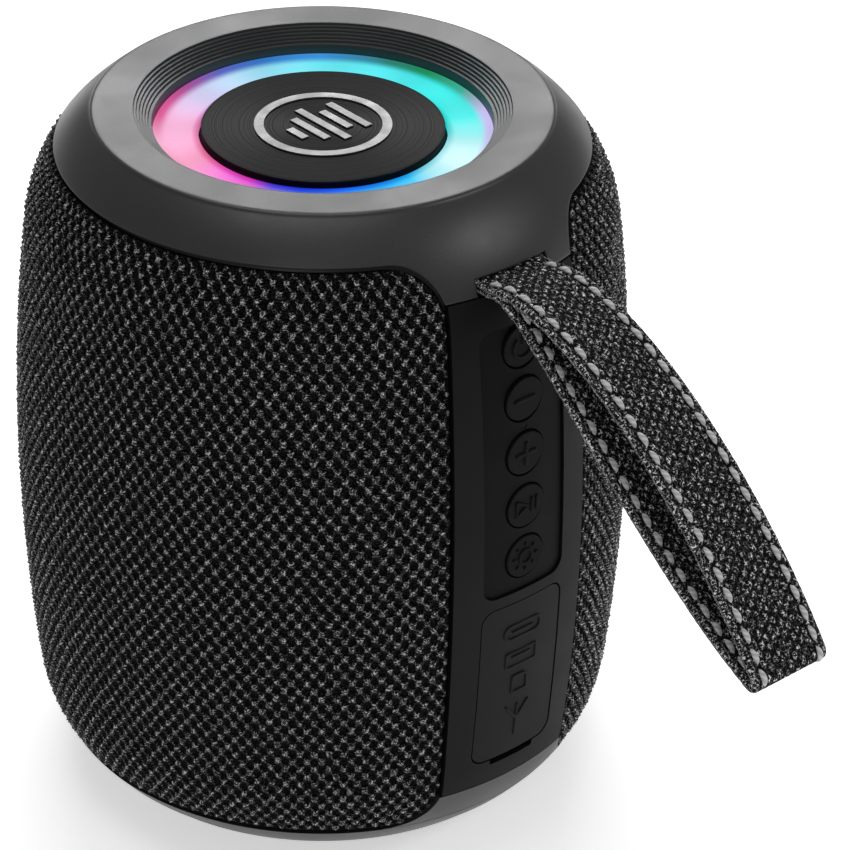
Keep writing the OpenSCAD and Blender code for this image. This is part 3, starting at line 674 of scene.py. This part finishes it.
def knit(u, v, wide, tall):
    """Height of the knit, 0 in its holes to about 1 on its knots, and the strength of the painted highlight
    on its filaments, at stitch u and row v.

    Knots stand on a staggered lattice where u - v/2 and u + v/2 are whole. Thin yarns join them
    down to the right. Each knot is an oval bump that leans up to the right, and a round hole
    lies half way between neighbours. wide and tall are a stitch and a row in millimetres."""
    k, l = u - v / 2, u + v / 2
    i, j = np.round(k), np.round(l)
    x = ((k - i) + (l - j)) / 2 * wide + (knot_value(i, j, 1) - 0.5) * 0.3
    z = ((l - j) - (k - i)) * tall + (knot_value(i, j, 2) - 0.5) * 0.3
    lean = math.radians(32) + (knot_value(i, j, 4) - 0.5) * 0.5
    along, across = x * np.cos(lean) + z * np.sin(lean), z * np.cos(lean) - x * np.sin(lean)
    knot = np.exp(-((along / (0.31 * wide)) ** 2) - (across / (0.25 * tall)) ** 2)
    yarn = ((1 + np.cos(2 * np.pi * l)) / 2) ** 5
    thread = ((1 + np.cos(2 * np.pi * k)) / 2) ** 4
    hole_x = ((k - np.floor(k) - 0.5) + (l - np.floor(l) - 0.5)) / 2 * wide
    hole_z = ((l - np.floor(l) - 0.5) - (k - np.floor(k) - 0.5)) * tall
    hole = np.clip((0.36 * wide - np.hypot(hole_x, hole_z)) / (0.2 * wide), 0, 1)
    open_net = 1 - hole * hole * (3 - 2 * hole)
    crown = (0.55 + 0.45 * knot_value(i, j, 3)) * knot
    # Painted highlight: brighter on the upper side of each knot, as if lit from above.
    upper = np.clip(0.62 + across / (0.3 * tall), 0.22, 1)
    height = (0.28 + 0.24 * yarn + 0.14 * thread + 0.55 * crown) * open_net
    # shine is the painted highlight strength: on the knots' crowns and yarns, none in the holes.
    shine = (1.15 * crown * upper + 0.34 * yarn + 0.12 * thread) * open_net
    return np.clip(height, 0, 1.2), np.clip(shine, 0, 1)


def sleeve_panel(index):
    """A fifth of the sleeve: the barrel's surface raised by the knit and rolled in at its edges.

    Round the barrel it runs from one side of the spine's window to the other. At each row that
    side stands off by the window's rounded corner, and the cloth goes down to CLOTH_T there."""
    r, z, normal_r, normal_z, length = skin_run(CLOTH_LOW, CLOTH_HIGH, CLOTH_ROWS)
    from_edge = np.minimum(z - CLOTH_LOW, CLOTH_HIGH - z)
    inset = WINDOW_CORNER - np.sqrt(WINDOW_CORNER**2 - np.clip(WINDOW_CORNER - from_edge, 0, None) ** 2)
    side = SPINE_HALF + 0.12 + np.degrees(inset / r)
    share = np.linspace(index / PANELS, (index + 1) / PANELS, PANEL_COLUMNS)
    angle = side[:, None] + (360 - 2 * side[:, None]) * share
    s = np.linspace(0, length, CLOTH_ROWS)[:, None] * np.ones_like(angle)
    height, shine = knit(angle / WALE, s / COURSE, WALE * 0.85, COURSE)
    to_side = np.minimum(share, 1 - share) * (360 - 2 * side[:, None]) * np.radians(1) * r[:, None]
    to_end = np.minimum(s, length - s)
    to_edge = np.minimum(to_side, to_end)
    roll = np.clip(1 - to_edge / 1.1, 0, 1)
    depth = (1 - height) * 0.75 * (1 - roll) - 0.05 + roll**2 * (CLOTH_T - 0.1)
    points = turned(r[:, None] - depth * normal_r[:, None], z[:, None] - depth * normal_z[:, None], angle)
    uv = np.stack([np.radians(angle) * BARREL_R, s], -1)
    # lift carries knit()'s painted highlight strength to the cloth's finish, which paints highlights where it
    # is high and shade where it is low.
    return surface(points, uv=uv, lift=shine * (1 - roll))


for panel in range(PANELS):
    mesh = joined_mesh("sleeve", [sleeve_panel(panel)])
    cloth = place(mesh, f"knit_sleeve_{panel + 1}", FINISHES["fabric"], "housing",
                  ["grille_fabric"], 80)


# ---- spine, keypad, cover and base ------------------------------------------------------

finished_copy("spine_panel", FINISHES["spine"], 0.25)
finished_copy("keypad_pad", FINISHES["rubber"], 0.2)
finished_copy("port_cover", FINISHES["cover"], 0.3)
finished_copy("base_cup", FINISHES["base"], 0.25)
finished_copy("rubber_foot", FINISHES["rubber"], 0.25)
for key in ("light", "play", "plus", "minus", "power"):
    finished_copy("button_" + key, FINISHES["rubber"], 0.3)


# ---- raised signs -----------------------------------------------------------------------


def raised_line(path, width, height, face, closed=False):
    """A rounded bar that stands on a face along a path of (x, z) points.

    Its section is half an ellipse, width wide and height high. Its ends taper to a point over
    half a width, and face(x, z) gives the points of the surface that it stands on."""
    path = np.array(path, float)
    if closed:
        ahead, behind = np.roll(path, -1, 0), np.roll(path, 1, 0)
        size = np.ones(len(path))
    else:
        run = np.concatenate([[0], np.cumsum(np.linalg.norm(np.diff(path, axis=0), axis=1))])
        ends = np.array([0, 0.04, 0.15, 0.3, 0.5]) * width
        at = np.unique(np.concatenate([ends, np.linspace(0.5 * width, run[-1] - 0.5 * width, 3 * len(path)),
                                       run[-1] - ends, run[(run > width) & (run < run[-1] - width)]]))
        size = np.sqrt(np.clip(1 - (1 - np.minimum(at, run[-1] - at) / (0.5 * width)).clip(0) ** 2, 0, 1))
        path = np.stack([np.interp(at, run, path[:, 0]), np.interp(at, run, path[:, 1])], -1)
        ahead = np.concatenate([path[1:], path[-1:]])
        behind = np.concatenate([path[:1], path[:-1]])
    tangent = ahead - behind
    tangent /= np.linalg.norm(tangent, axis=1, keepdims=True)
    across = np.stack([tangent[:, 1], -tangent[:, 0]], -1)
    turn = np.radians(np.linspace(0, 360, 13)[:-1])
    offset = (width / 2 * size)[:, None] * np.cos(turn)
    lift = (height * size)[:, None] * np.sin(turn)
    lift = np.where(lift < 0, lift * 0.3, lift)
    flat = path[:, None, :] + offset[..., None] * across[:, None, :]
    points = face(flat[..., 0], flat[..., 1])
    points[..., 1] -= lift
    return surface(points[:, ::-1], wrap_rows=closed, wrap_columns=True)


def arc_path(x, z, radius, start, end, count=28):
    """Points of an arc about (x, z), from start to end degrees."""
    a = np.radians(np.linspace(start, end, count))
    return np.stack([x + radius * np.cos(a), z + radius * np.sin(a)], -1)


def sign_sun(x, z):
    """A small circle with eight rays."""
    lines = [(arc_path(x, z, 1.25, 0, 350, 36), True)]
    for a in np.radians(np.arange(0, 360, 45)):
        ray = np.array([[math.cos(a), math.sin(a)]])
        lines.append((np.array([x, z]) + ray * np.array([[1.85], [2.65]]), False))
    return lines


def sign_play(x, z):
    """A triangle and two bars."""
    triangle = [[x - 2.0, z - 1.3], [x - 2.0, z + 1.3], [x + 0.25, z]]
    corners = np.array(triangle + triangle[:1])
    steps = np.linspace(0, 1, 8)[:-1, None]
    edge = np.concatenate([a + (b - a) * steps for a, b in zip(corners, corners[1:])])
    bars = [(np.array([[x + side, z - 1.4], [x + side, z + 1.4]]), False) for side in (1.15, 2.15)]
    return [(edge, True), *bars]


def sign_plus(x, z):
    """Two bars that cross at the key's middle."""
    return [(np.array([[x - 2.2, z], [x + 2.2, z]]), False), (np.array([[x, z - 2.2], [x, z + 2.2]]), False)]


def sign_minus(x, z):
    """One level bar."""
    return [(np.array([[x - 2.2, z], [x + 2.2, z]]), False)]


def sign_power(x, z):
    """An open ring, and an upright bar through the gap at its top."""
    return [(arc_path(x, z - 0.2, 1.85, 125, 415), False), (np.array([[x, z + 0.1], [x, z + 2.3]]), False)]


SIGNS = {"light": sign_sun, "play": sign_play, "plus": sign_plus, "minus": sign_minus, "power": sign_power}

for key, sign in SIGNS.items():
    low, high = node_box("button_" + key)
    face_y = low[1]

    def key_face(x, z, y=face_y):
        return np.stack([x, np.full_like(x, y), z], -1)

    width = 0.85 if key in ("plus", "minus") else 0.6
    middle = (low[2] + high[2]) / 2
    lines = [raised_line(path, width, 0.28, key_face, closed) for path, closed in sign(0.0, middle)]
    place(merged(joined_mesh("sign", lines)), f"sign_{key}", FINISHES["rubber"], f"key_{key}")


def round_box_path(x, z, w, h, r):
    """Outline of a w by h rectangle about (x, z) with corners of radius r."""
    parts = [arc_path(x + sx * (w / 2 - r), z + sz * (h / 2 - r), r, a, a + 90, 7)
             for sx, sz, a in ((1, 1, 0), (-1, 1, 90), (-1, -1, 180), (1, -1, 270))]
    return np.concatenate(parts)


def cover_signs():
    """Signs of what lies behind the cover: a small rounded port, a wide port with its tongue, a
    card with a cut corner, and an upright aerial with two arms."""
    lines = [(round_box_path(0, 45.1, 7.4, 2.6, 1.25), True), (np.array([[-2.2, 45.1], [2.2, 45.1]]), False)]
    lines += [(round_box_path(0, 39.6, 6.2, 2.8, 0.3), True), (np.array([[-2.0, 40.1], [2.0, 40.1]]), False)]
    card = np.array([[-1.5, 32.9], [-1.5, 36.1], [0.8, 36.1], [1.5, 35.4], [1.5, 32.9]])
    loop = np.concatenate([card, card[:1]])
    edge = np.concatenate([a + (b - a) * np.linspace(0, 1, 6)[:-1, None] for a, b in zip(loop, loop[1:])])
    lines.append((edge, True))
    lines.append((np.array([[0, 23.6], [0, 30.2]]), False))
    for x in (-2.4, 2.4):
        lines.append((np.array([[x, 30.2], [0, 27.2]]), False))
    return lines


def cover_face(x, z):
    """The cover's front, 0.1 mm inside the barrel's outline."""
    return on_front(x, z, 0.1)


lines = [raised_line(path, 0.5, 0.25, cover_face, closed) for path, closed in cover_signs()]
place(merged(joined_mesh("cover_signs", lines)), "cover_signs", FINISHES["cover"], "cover")


# ---- lit top ----------------------------------------------------------------------------


def dish(r):
    """Height of the light ring's face: a shallow trough that is lowest at radius 23."""
    return 112.8 + np.where(r < 23, 0.6 * ((23 - r) / 3.4) ** 2, 1.1 * ((r - 23) / 3.65) ** 2)


# Angle round the ring, its colour on the trough and its colour at the rim. Angles grow counter-
# clockwise seen from above, from GLOW_START degrees after +X.
GLOW_START = -39.4
GLOW = [
    (0, (0.25, 0.85, 0.86), (0.58, 0.51, 0.87)),
    (15, (0.02, 0.82, 0.79), (0.55, 0.50, 0.85)),
    (32, (0.02, 0.84, 0.80), (0.05, 0.42, 0.30)),
    (50, (0.05, 0.83, 0.83), (0.01, 0.28, 0.10)),
    (66, (0.10, 0.84, 0.90), (0.02, 0.20, 0.16)),
    (90, (0.15, 0.83, 0.92), (0.04, 0.28, 0.70)),
    (112, (0.30, 0.76, 0.92), (0.03, 0.18, 0.58)),
    (130, (0.52, 0.72, 0.94), (0.10, 0.12, 0.50)),
    (150, (0.68, 0.58, 0.87), (0.50, 0.08, 0.30)),
    (170, (0.91, 0.42, 0.68), (0.75, 0.10, 0.30)),
    (190, (0.93, 0.40, 0.64), (0.87, 0.42, 0.60)),
    (206, (0.93, 0.31, 0.52), (0.93, 0.32, 0.50)),
    (222, (0.91, 0.19, 0.68), (0.91, 0.22, 0.50)),
    (236, (0.87, 0.14, 0.72), (0.80, 0.14, 0.60)),
    (247, (0.20, 0.14, 0.80), (0.32, 0.14, 0.75)),
    (260, (0.06, 0.16, 0.92), (0.07, 0.17, 0.90)),
    (276, (0.06, 0.27, 1.00), (0.06, 0.27, 1.00)),
    (295, (0.05, 0.46, 1.00), (0.05, 0.46, 1.00)),
    (310, (0.05, 0.58, 0.95), (0.06, 0.60, 0.95)),
    (322, (0.40, 0.87, 0.95), (0.35, 0.80, 0.95)),
    (335, (0.62, 0.95, 1.00), (0.68, 0.75, 0.95)),
    (348, (0.55, 0.92, 0.95), (0.60, 0.58, 0.90)),
    (360, (0.25, 0.85, 0.86), (0.58, 0.51, 0.87)),
]


def light_ring():
    """The ring's section carried round the axis: the dished face, its rim flange and its back.

    The glow runs round the ring through GLOW's colours, from the trough's colour to the rim's over the outer
    third. Close to the plate it is painted darker and deeper in colour, a painted shadow of the plate's edge.
    It is a little brighter over each of the twelve LEDs."""
    r_in, r_out = PLATE_R + 0.4, LIP_R - 0.15
    r = np.linspace(r_in, r_out, 30)
    section = np.concatenate([
        np.stack([r, dish(r)], -1)[::-1],
        np.stack([r, dish(r) - 1], -1),
        [[28.2, 112.3], [28.2, 113.5], [r_out, 113.5]],
    ])
    angles = np.arange(360)
    points = turned(section[:, :1], section[:, 1:], angles[None, :])
    around = (angles - 90 - GLOW_START) % 360
    stops = [stop[0] for stop in GLOW]
    trough = np.stack([np.interp(around, stops, [stop[1][c] for stop in GLOW]) for c in range(3)], -1)
    rim = np.stack([np.interp(around, stops, [stop[2][c] for stop in GLOW]) for c in range(3)], -1)
    share = np.clip((section[:, 0] - 24.6) / 1.5, 0, 1)[:, None, None]
    share = share * share * (3 - 2 * share)
    colour = trough[None] * (1 - share) + rim[None] * share
    # Painted shadow of the plate's edge: the glow is darker and deeper in colour over the last 1.1 mm next to
    # the plate.
    plate_shadow = np.interp(section[:, 0], [r_in, r_in + 1.1], [1.0, 0.0])[:, None, None]
    colour = colour ** (1 + 0.9 * plate_shadow) * (1 - 0.2 * plate_shadow)
    colour *= 1 + 0.05 * np.cos(np.radians(angles) * 12)[None, :, None]
    glow = np.concatenate([colour, np.ones(colour.shape[:2] + (1,))], -1)
    return surface(points, wrap_rows=True, wrap_columns=True, glow=glow)


place(joined_mesh("light_ring", [light_ring()]), "lit_ring", FINISHES["diffuser"], "housing",
      ["light_ring"], 40)


def spun_plate():
    """A disc whose face reaches over its rubber rim as a thin flange, closed at both poles."""
    top = PLATE_FACE
    face = [[r, top] for r in np.linspace(PLATE_R - 0.2, 0.0, 24)]
    return lathe([[0.0, 112.9], [18.3, 112.9], [18.3, top - 0.4], [PLATE_R - 0.05, top - 0.4],
                  [PLATE_R, top - 0.33], [PLATE_R, top - 0.1], [PLATE_R - 0.07, top - 0.03],
                  *face], 192, False)


place(merged(joined_mesh("plate", [spun_plate()])), "spun_plate", FINISHES["plate"], "radiator",
      ["radiator_plate"], 30)


def plate_rim():
    """The rubber ring under the plate's flange, slightly hollow in its side."""
    top = PLATE_FACE - 0.41
    turns = np.linspace(0, math.pi, 8)
    side = [[PLATE_R - 0.12 * math.sin(a), 112.5 + (top - 112.5) * a / math.pi] for a in turns]
    return lathe([*side, [18.32, top], [18.32, 112.5]], 192)


place(joined_mesh("rim", [plate_rim()]), "plate_rim", FINISHES["rubber"], "radiator",
      ["radiator_rim"], 40)
finished_copy("plate_emblem", FINISHES["emblem"], 0.06)


# ---- strap ------------------------------------------------------------------------------

LAYER = 1.5
EDGE_ROUND = 0.65
BUMP_PITCH = 1.75
BUMP_ROW = 1.08
UPPER = np.array([[46.7, 107.15], [58.5, 110.5], [85, 98], [106.5, 68.5]])
LOWER = np.array([[46.7, 106.25], [52.5, 111.0], [78, 80], [105, 67.5]])
ANCHOR = np.array([37.6, 107.0])


def bezier(p, u):
    """Cubic Bezier curve: the four points weighted by the binomial terms of u and 1 - u."""
    u = np.asarray(u)[:, None]
    return (1 - u) ** 3 * p[0] + 3 * (1 - u) ** 2 * u * p[1] + 3 * (1 - u) * u * u * p[2] + u**3 * p[3]


def strap_path():
    """The strap's centreline as (distance from the axis, height) points.

    It starts in the slot under the anchor pin, turns round the pin, runs out along the upper
    curve, folds at the end and comes back along the lower curve into the slot."""
    around = np.radians(np.linspace(250, 90, 14))
    pin = ANCHOR + 1.5 * np.stack([np.cos(around), np.sin(around)], -1)
    into = np.array([[40.5, 107.9], [43.5, 107.3]])
    fold_centre = (UPPER[3] + LOWER[3]) / 2
    reach = (UPPER[3] - LOWER[3]) / 2
    side = np.array([reach[1], -reach[0]])
    turn = np.radians(np.linspace(0, 180, 16)[1:-1])[:, None]
    fold = fold_centre + np.cos(turn) * reach + np.sin(turn) * side * 1.1
    back = np.array([[43.5, 106.3], [40.5, 106.2]])
    rough = np.concatenate([pin, into, bezier(UPPER, np.linspace(0, 1, 90)), fold,
                            bezier(LOWER, np.linspace(1, 0, 90)), back])
    run = np.concatenate([[0], np.cumsum(np.linalg.norm(np.diff(rough, axis=0), axis=1))])
    at = np.linspace(0, run[-1], 640)
    path = np.stack([np.interp(at, run, rough[:, 0]), np.interp(at, run, rough[:, 1])], -1)
    kernel = np.hanning(11) / np.hanning(11).sum()
    for _ in range(2):
        padded = np.concatenate([np.repeat(path[:1], 5, 0), path, np.repeat(path[-1:], 5, 0)])
        path = np.stack([np.convolve(padded[:, c], kernel, "valid") for c in range(2)], -1)
    return path, at


def strap_frame(path):
    """Unit normals to the left of the path, and the strap's thickness along it.

    It is pressed thin where it lies double in the slot, and swells to LAYER outside it."""
    tangent = np.gradient(path, axis=0)
    tangent /= np.linalg.norm(tangent, axis=1, keepdims=True)
    normal = np.stack([-tangent[:, 1], tangent[:, 0]], -1)
    out = np.clip((path[:, 0] - 45.5) / 5.0, 0, 1)
    return normal, 0.85 + (LAYER - 0.85) * out * out * (3 - 2 * out)


def webbing():
    """The webbing: a flat rounded section carried along the path.

    The section has two flat faces and half round edges. Both faces are raised by the weave: oval
    bumps on a staggered lattice, slanted by turns like herringbone, each moved and sized a
    little on its own. The bumps fade at the edges and where the strap folds."""
    path, at = strap_path()
    normal, thick = strap_frame(path)
    flat_half = STRAP_HALF - EDGE_ROUND
    run = np.linspace(flat_half, -flat_half, 52)
    bend = np.radians(np.linspace(90, 270, 10)[1:-1])
    across = np.concatenate([run, -flat_half + EDGE_ROUND * np.cos(bend), -run,
                             flat_half - EDGE_ROUND * np.cos(bend)])
    up = np.concatenate([np.ones(52), np.sin(bend), -np.ones(52), -np.sin(bend)]) / 2
    flat = np.clip((STRAP_HALF - np.abs(across)) / 1.2, 0, 1) * np.sign(up)
    u, v = np.meshgrid(at / BUMP_PITCH, across / BUMP_ROW, indexing="ij")
    u = u + 0.5 * (up < 0)
    row = np.round(v)
    bump = np.round(u - row / 2)
    du = (u - row / 2 - bump + (knot_value(bump, row, 5) - 0.5) * 0.2) * BUMP_PITCH
    dv = (v - row + (knot_value(bump, row, 6) - 0.5) * 0.2) * BUMP_ROW
    slant = 0.5 * (1 - 2 * (row % 2))
    weave = np.exp(-(((du - slant * dv) / 0.56) ** 2) - (dv / 0.42) ** 2)
    weave = weave * (0.65 + 0.35 * knot_value(bump, row, 7))
    heading = np.unwrap(np.arctan2(normal[:, 1], normal[:, 0]))
    straight = np.clip(1.25 - np.abs(np.gradient(heading, at)) * 4, 0.15, 1)
    fray = (knot_value(np.arange(len(at))[:, None] // 2, np.sign(across)[None, :], 8) - 0.5) * 0.06
    swell = 0.55 * np.clip((path[:, :1] - 50) / 50, 0, 1)
    edge = across[None, :] * (1 + swell / STRAP_HALF) + fray * (np.abs(across) > flat_half + 0.2)
    relief = (weave - 0.75) * 0.40 * flat[None, :] * (thick / LAYER * straight)[:, None]
    lift = up[None, :] * thick[:, None] + relief
    centre = path[:, None, :] + lift[..., None] * normal[:, None, :]
    points = np.stack([edge, -centre[..., 0], centre[..., 1]], -1)
    uv = np.stack([np.broadcast_to(at[:, None], edge.shape),
                   np.broadcast_to((across + 20 * (up < 0))[None, :], edge.shape)], -1)
    # amount, the weave's height, becomes lift, which the webbing's finish turns into painted highlights on
    # the crowns and painted shade between the bumps.
    amount = weave * np.abs(flat)[None, :] + 0.5 * (1 - np.abs(flat))[None, :]
    grids = [with_ends(grid) for grid in (points, uv, amount[..., None])]
    return surface(grids[0], wrap_columns=True, uv=grids[1], lift=grids[2])


def with_ends(grid):
    """The grid with a row added at each end, where all of the end row comes to its mean."""
    return np.concatenate([grid[:1] * 0 + grid[:1].mean(1, keepdims=True), grid,
                           grid[-1:] * 0 + grid[-1:].mean(1, keepdims=True)])


def stitches():
    """Fat stitches in two rows near the strap's edges, on both faces of each layer.

    Each is a spindle that rises out of the cloth and sinks back: its line lifts as a half sine,
    and its radius follows the root of a half sine."""
    path, at = strap_path()
    normal, thick = strap_frame(path)
    pitch, length, row = 3.2, 2.6, STRAP_HALF - 1.7
    centres = np.arange(14.0, at[-1] - 10.0, pitch)
    share = np.linspace(0, 1, 9)
    turn = np.radians(np.arange(0, 360, 45))
    found = []
    for face in (-1, 1):
        for side in (-1, 1):
            where = centres[:, None] + (share - 0.5)[None, :] * length + 0.4 * side
            bend = np.stack([np.interp(where, at, path[:, c]) for c in range(2)], -1)
            out = np.stack([np.interp(where, at, normal[:, c]) for c in range(2)], -1)
            half = np.interp(where, at, thick) / 2
            rise = half + 0.28 * np.sin(np.pi * share) - 0.16
            size = 0.54 * np.sqrt(np.sin(np.pi * share).clip(0))
            swell = 0.5 * np.clip((bend[:, :1, 0] - 50) / 50, 0, 1)
            lean = side * (row + swell) + 0.16 * (share - 0.5)
            height = rise[..., None] + 0.62 * size[None, :, None] * np.sin(turn)
            x = lean[:, :, None] + size[None, :, None] * np.cos(turn) + 0 * height
            spot = bend[..., None, :] + face * height[..., None] * out[..., None, :]
            points = np.stack([x, -spot[..., 0], spot[..., 1]], -1)
            if face > 0:
                points = points[:, :, ::-1]
            uv = np.stack([where[..., None] * 2 + 0 * x, np.degrees(turn)[None, None, :] / 90 + 0 * x], -1)
            for one, one_uv in zip(points, uv):
                found.append(surface(one[:, ::-1], wrap_columns=True, uv=one_uv))
    return found


mesh = merged(joined_mesh("webbing", [webbing()]))
strap_piece = place(mesh, "webbing_strap", FINISHES["webbing"], None,
                    ["strap_loop", "strap_tail"], 80)
mesh = merged(joined_mesh("stitches", stitches()))
thread_piece = place(mesh, "strap_stitches", THREAD, None, (), 80)
for soft in (strap_piece, thread_piece):
    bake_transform(soft)


# ---- floor, light and camera ------------------------------------------------------------


def studio():
    """A pale light table and wide soft lights, with a white surround."""
    span = 4.0
    mesh = bpy.data.meshes.new("floor")
    corners = [(-span, -span, FLOOR_Z), (span, -span, FLOOR_Z), (span, span, FLOOR_Z), (-span, span, FLOOR_Z)]
    mesh.from_pydata(corners, [], [(0, 1, 2, 3)])
    floor = bpy.data.objects.new("floor", mesh)
    bpy.context.scene.collection.objects.link(floor)
    pale = Finish("pale_floor", (0.93, 0.93, 0.93), 0.6, Specular_IOR_Level=0.1, Emission_Strength=0.52)
    pale.shader.inputs["Emission Color"].default_value = (1, 1, 1, 1)
    haze = pale.noise(pale.coords(), 3.0, 3, 0.5)
    pale.colour(pale.mix(haze, (0.92, 0.92, 0.92, 1), (0.95, 0.95, 0.95, 1)))
    mesh.materials.append(pale.material)
    for name, place_at, aim, size, power in LIGHTS:
        data = bpy.data.lights.new(name, "AREA")
        data.shape = "RECTANGLE"
        data.size, data.size_y = size
        data.energy = power
        lamp = bpy.data.objects.new(name, data)
        lamp.location = place_at
        lamp.rotation_euler = (Vector(aim) - Vector(place_at)).to_track_quat("-Z", "Y").to_euler()
        bpy.context.scene.collection.objects.link(lamp)
    world = bpy.data.worlds.new("white_surround")
    world.use_nodes = True
    tree = world.node_tree
    seen = tree.nodes.new("ShaderNodeLightPath").outputs["Is Camera Ray"]
    level = tree.nodes.new("ShaderNodeMapRange")
    tree.links.new(seen, level.inputs["Value"])
    level.inputs["To Min"].default_value = SURROUND
    tree.links.new(level.outputs[0], tree.nodes["Background"].inputs["Strength"])
    tree.nodes["Background"].inputs["Color"].default_value = (1, 1, 1, 1)
    bpy.context.scene.world = world
    bpy.context.scene.view_settings.view_transform = "Standard"


LIGHTS = [
    ("back_box", (0.70, 0.85, 0.76), (0, 0, 0.1), (0.8, 0.45), 6.7),
    ("top_box", (-0.1, 0.1, 1.5), (0, 0, 0), (0.8, 0.8), 6.0),
    ("left_key", (-0.95, -0.75, 0.9), (0, 0, 0.06), (0.3, 0.3), 1.1),
    ("right_key", (0.62, -0.85, 0.85), (0, 0, 0.05), (0.35, 0.35), 2.6),
]

SURROUND = 0.22
FLOOR_Z = -0.00005

VIEW_TARGET = (0.0, 0.0, 0.0748)
VIEW_DISTANCE = 0.612
VIEW_ELEVATION = math.radians(30.16)
VIEW_AZIMUTH = math.radians(-39.4)
VIEW_OFF_CENTRE = (0.02705, -0.02178)


def camera():
    """A long lens above the spine's left. It aims to the right of the barrel, whose axis stands
    left of the middle, and is rolled until that axis is upright."""
    away = Vector((math.sin(VIEW_AZIMUTH) * math.cos(VIEW_ELEVATION),
                   -math.cos(VIEW_AZIMUTH) * math.cos(VIEW_ELEVATION), math.sin(VIEW_ELEVATION)))
    right = (-away).cross(Vector((0, 0, 1))).normalized()
    up = right.cross(-away)
    aim = (-away + right * VIEW_OFF_CENTRE[0] + up * VIEW_OFF_CENTRE[1]).normalized()
    upright = right.cross(aim).normalized()
    turn = Matrix((aim.cross(upright), upright, -aim)).transposed()
    data = bpy.data.cameras.new("camera")
    data.lens = 159.51
    data.sensor_width = 36
    data.clip_start, data.clip_end = 0.01, 20
    lens = bpy.data.objects.new("camera", data)
    lens.location = Vector(VIEW_TARGET) + away * VIEW_DISTANCE
    lens.rotation_mode = "QUATERNION"
    lens.rotation_quaternion = turn.to_quaternion()
    bpy.context.scene.collection.objects.link(lens)
    bpy.context.scene.camera = lens


studio()
camera()
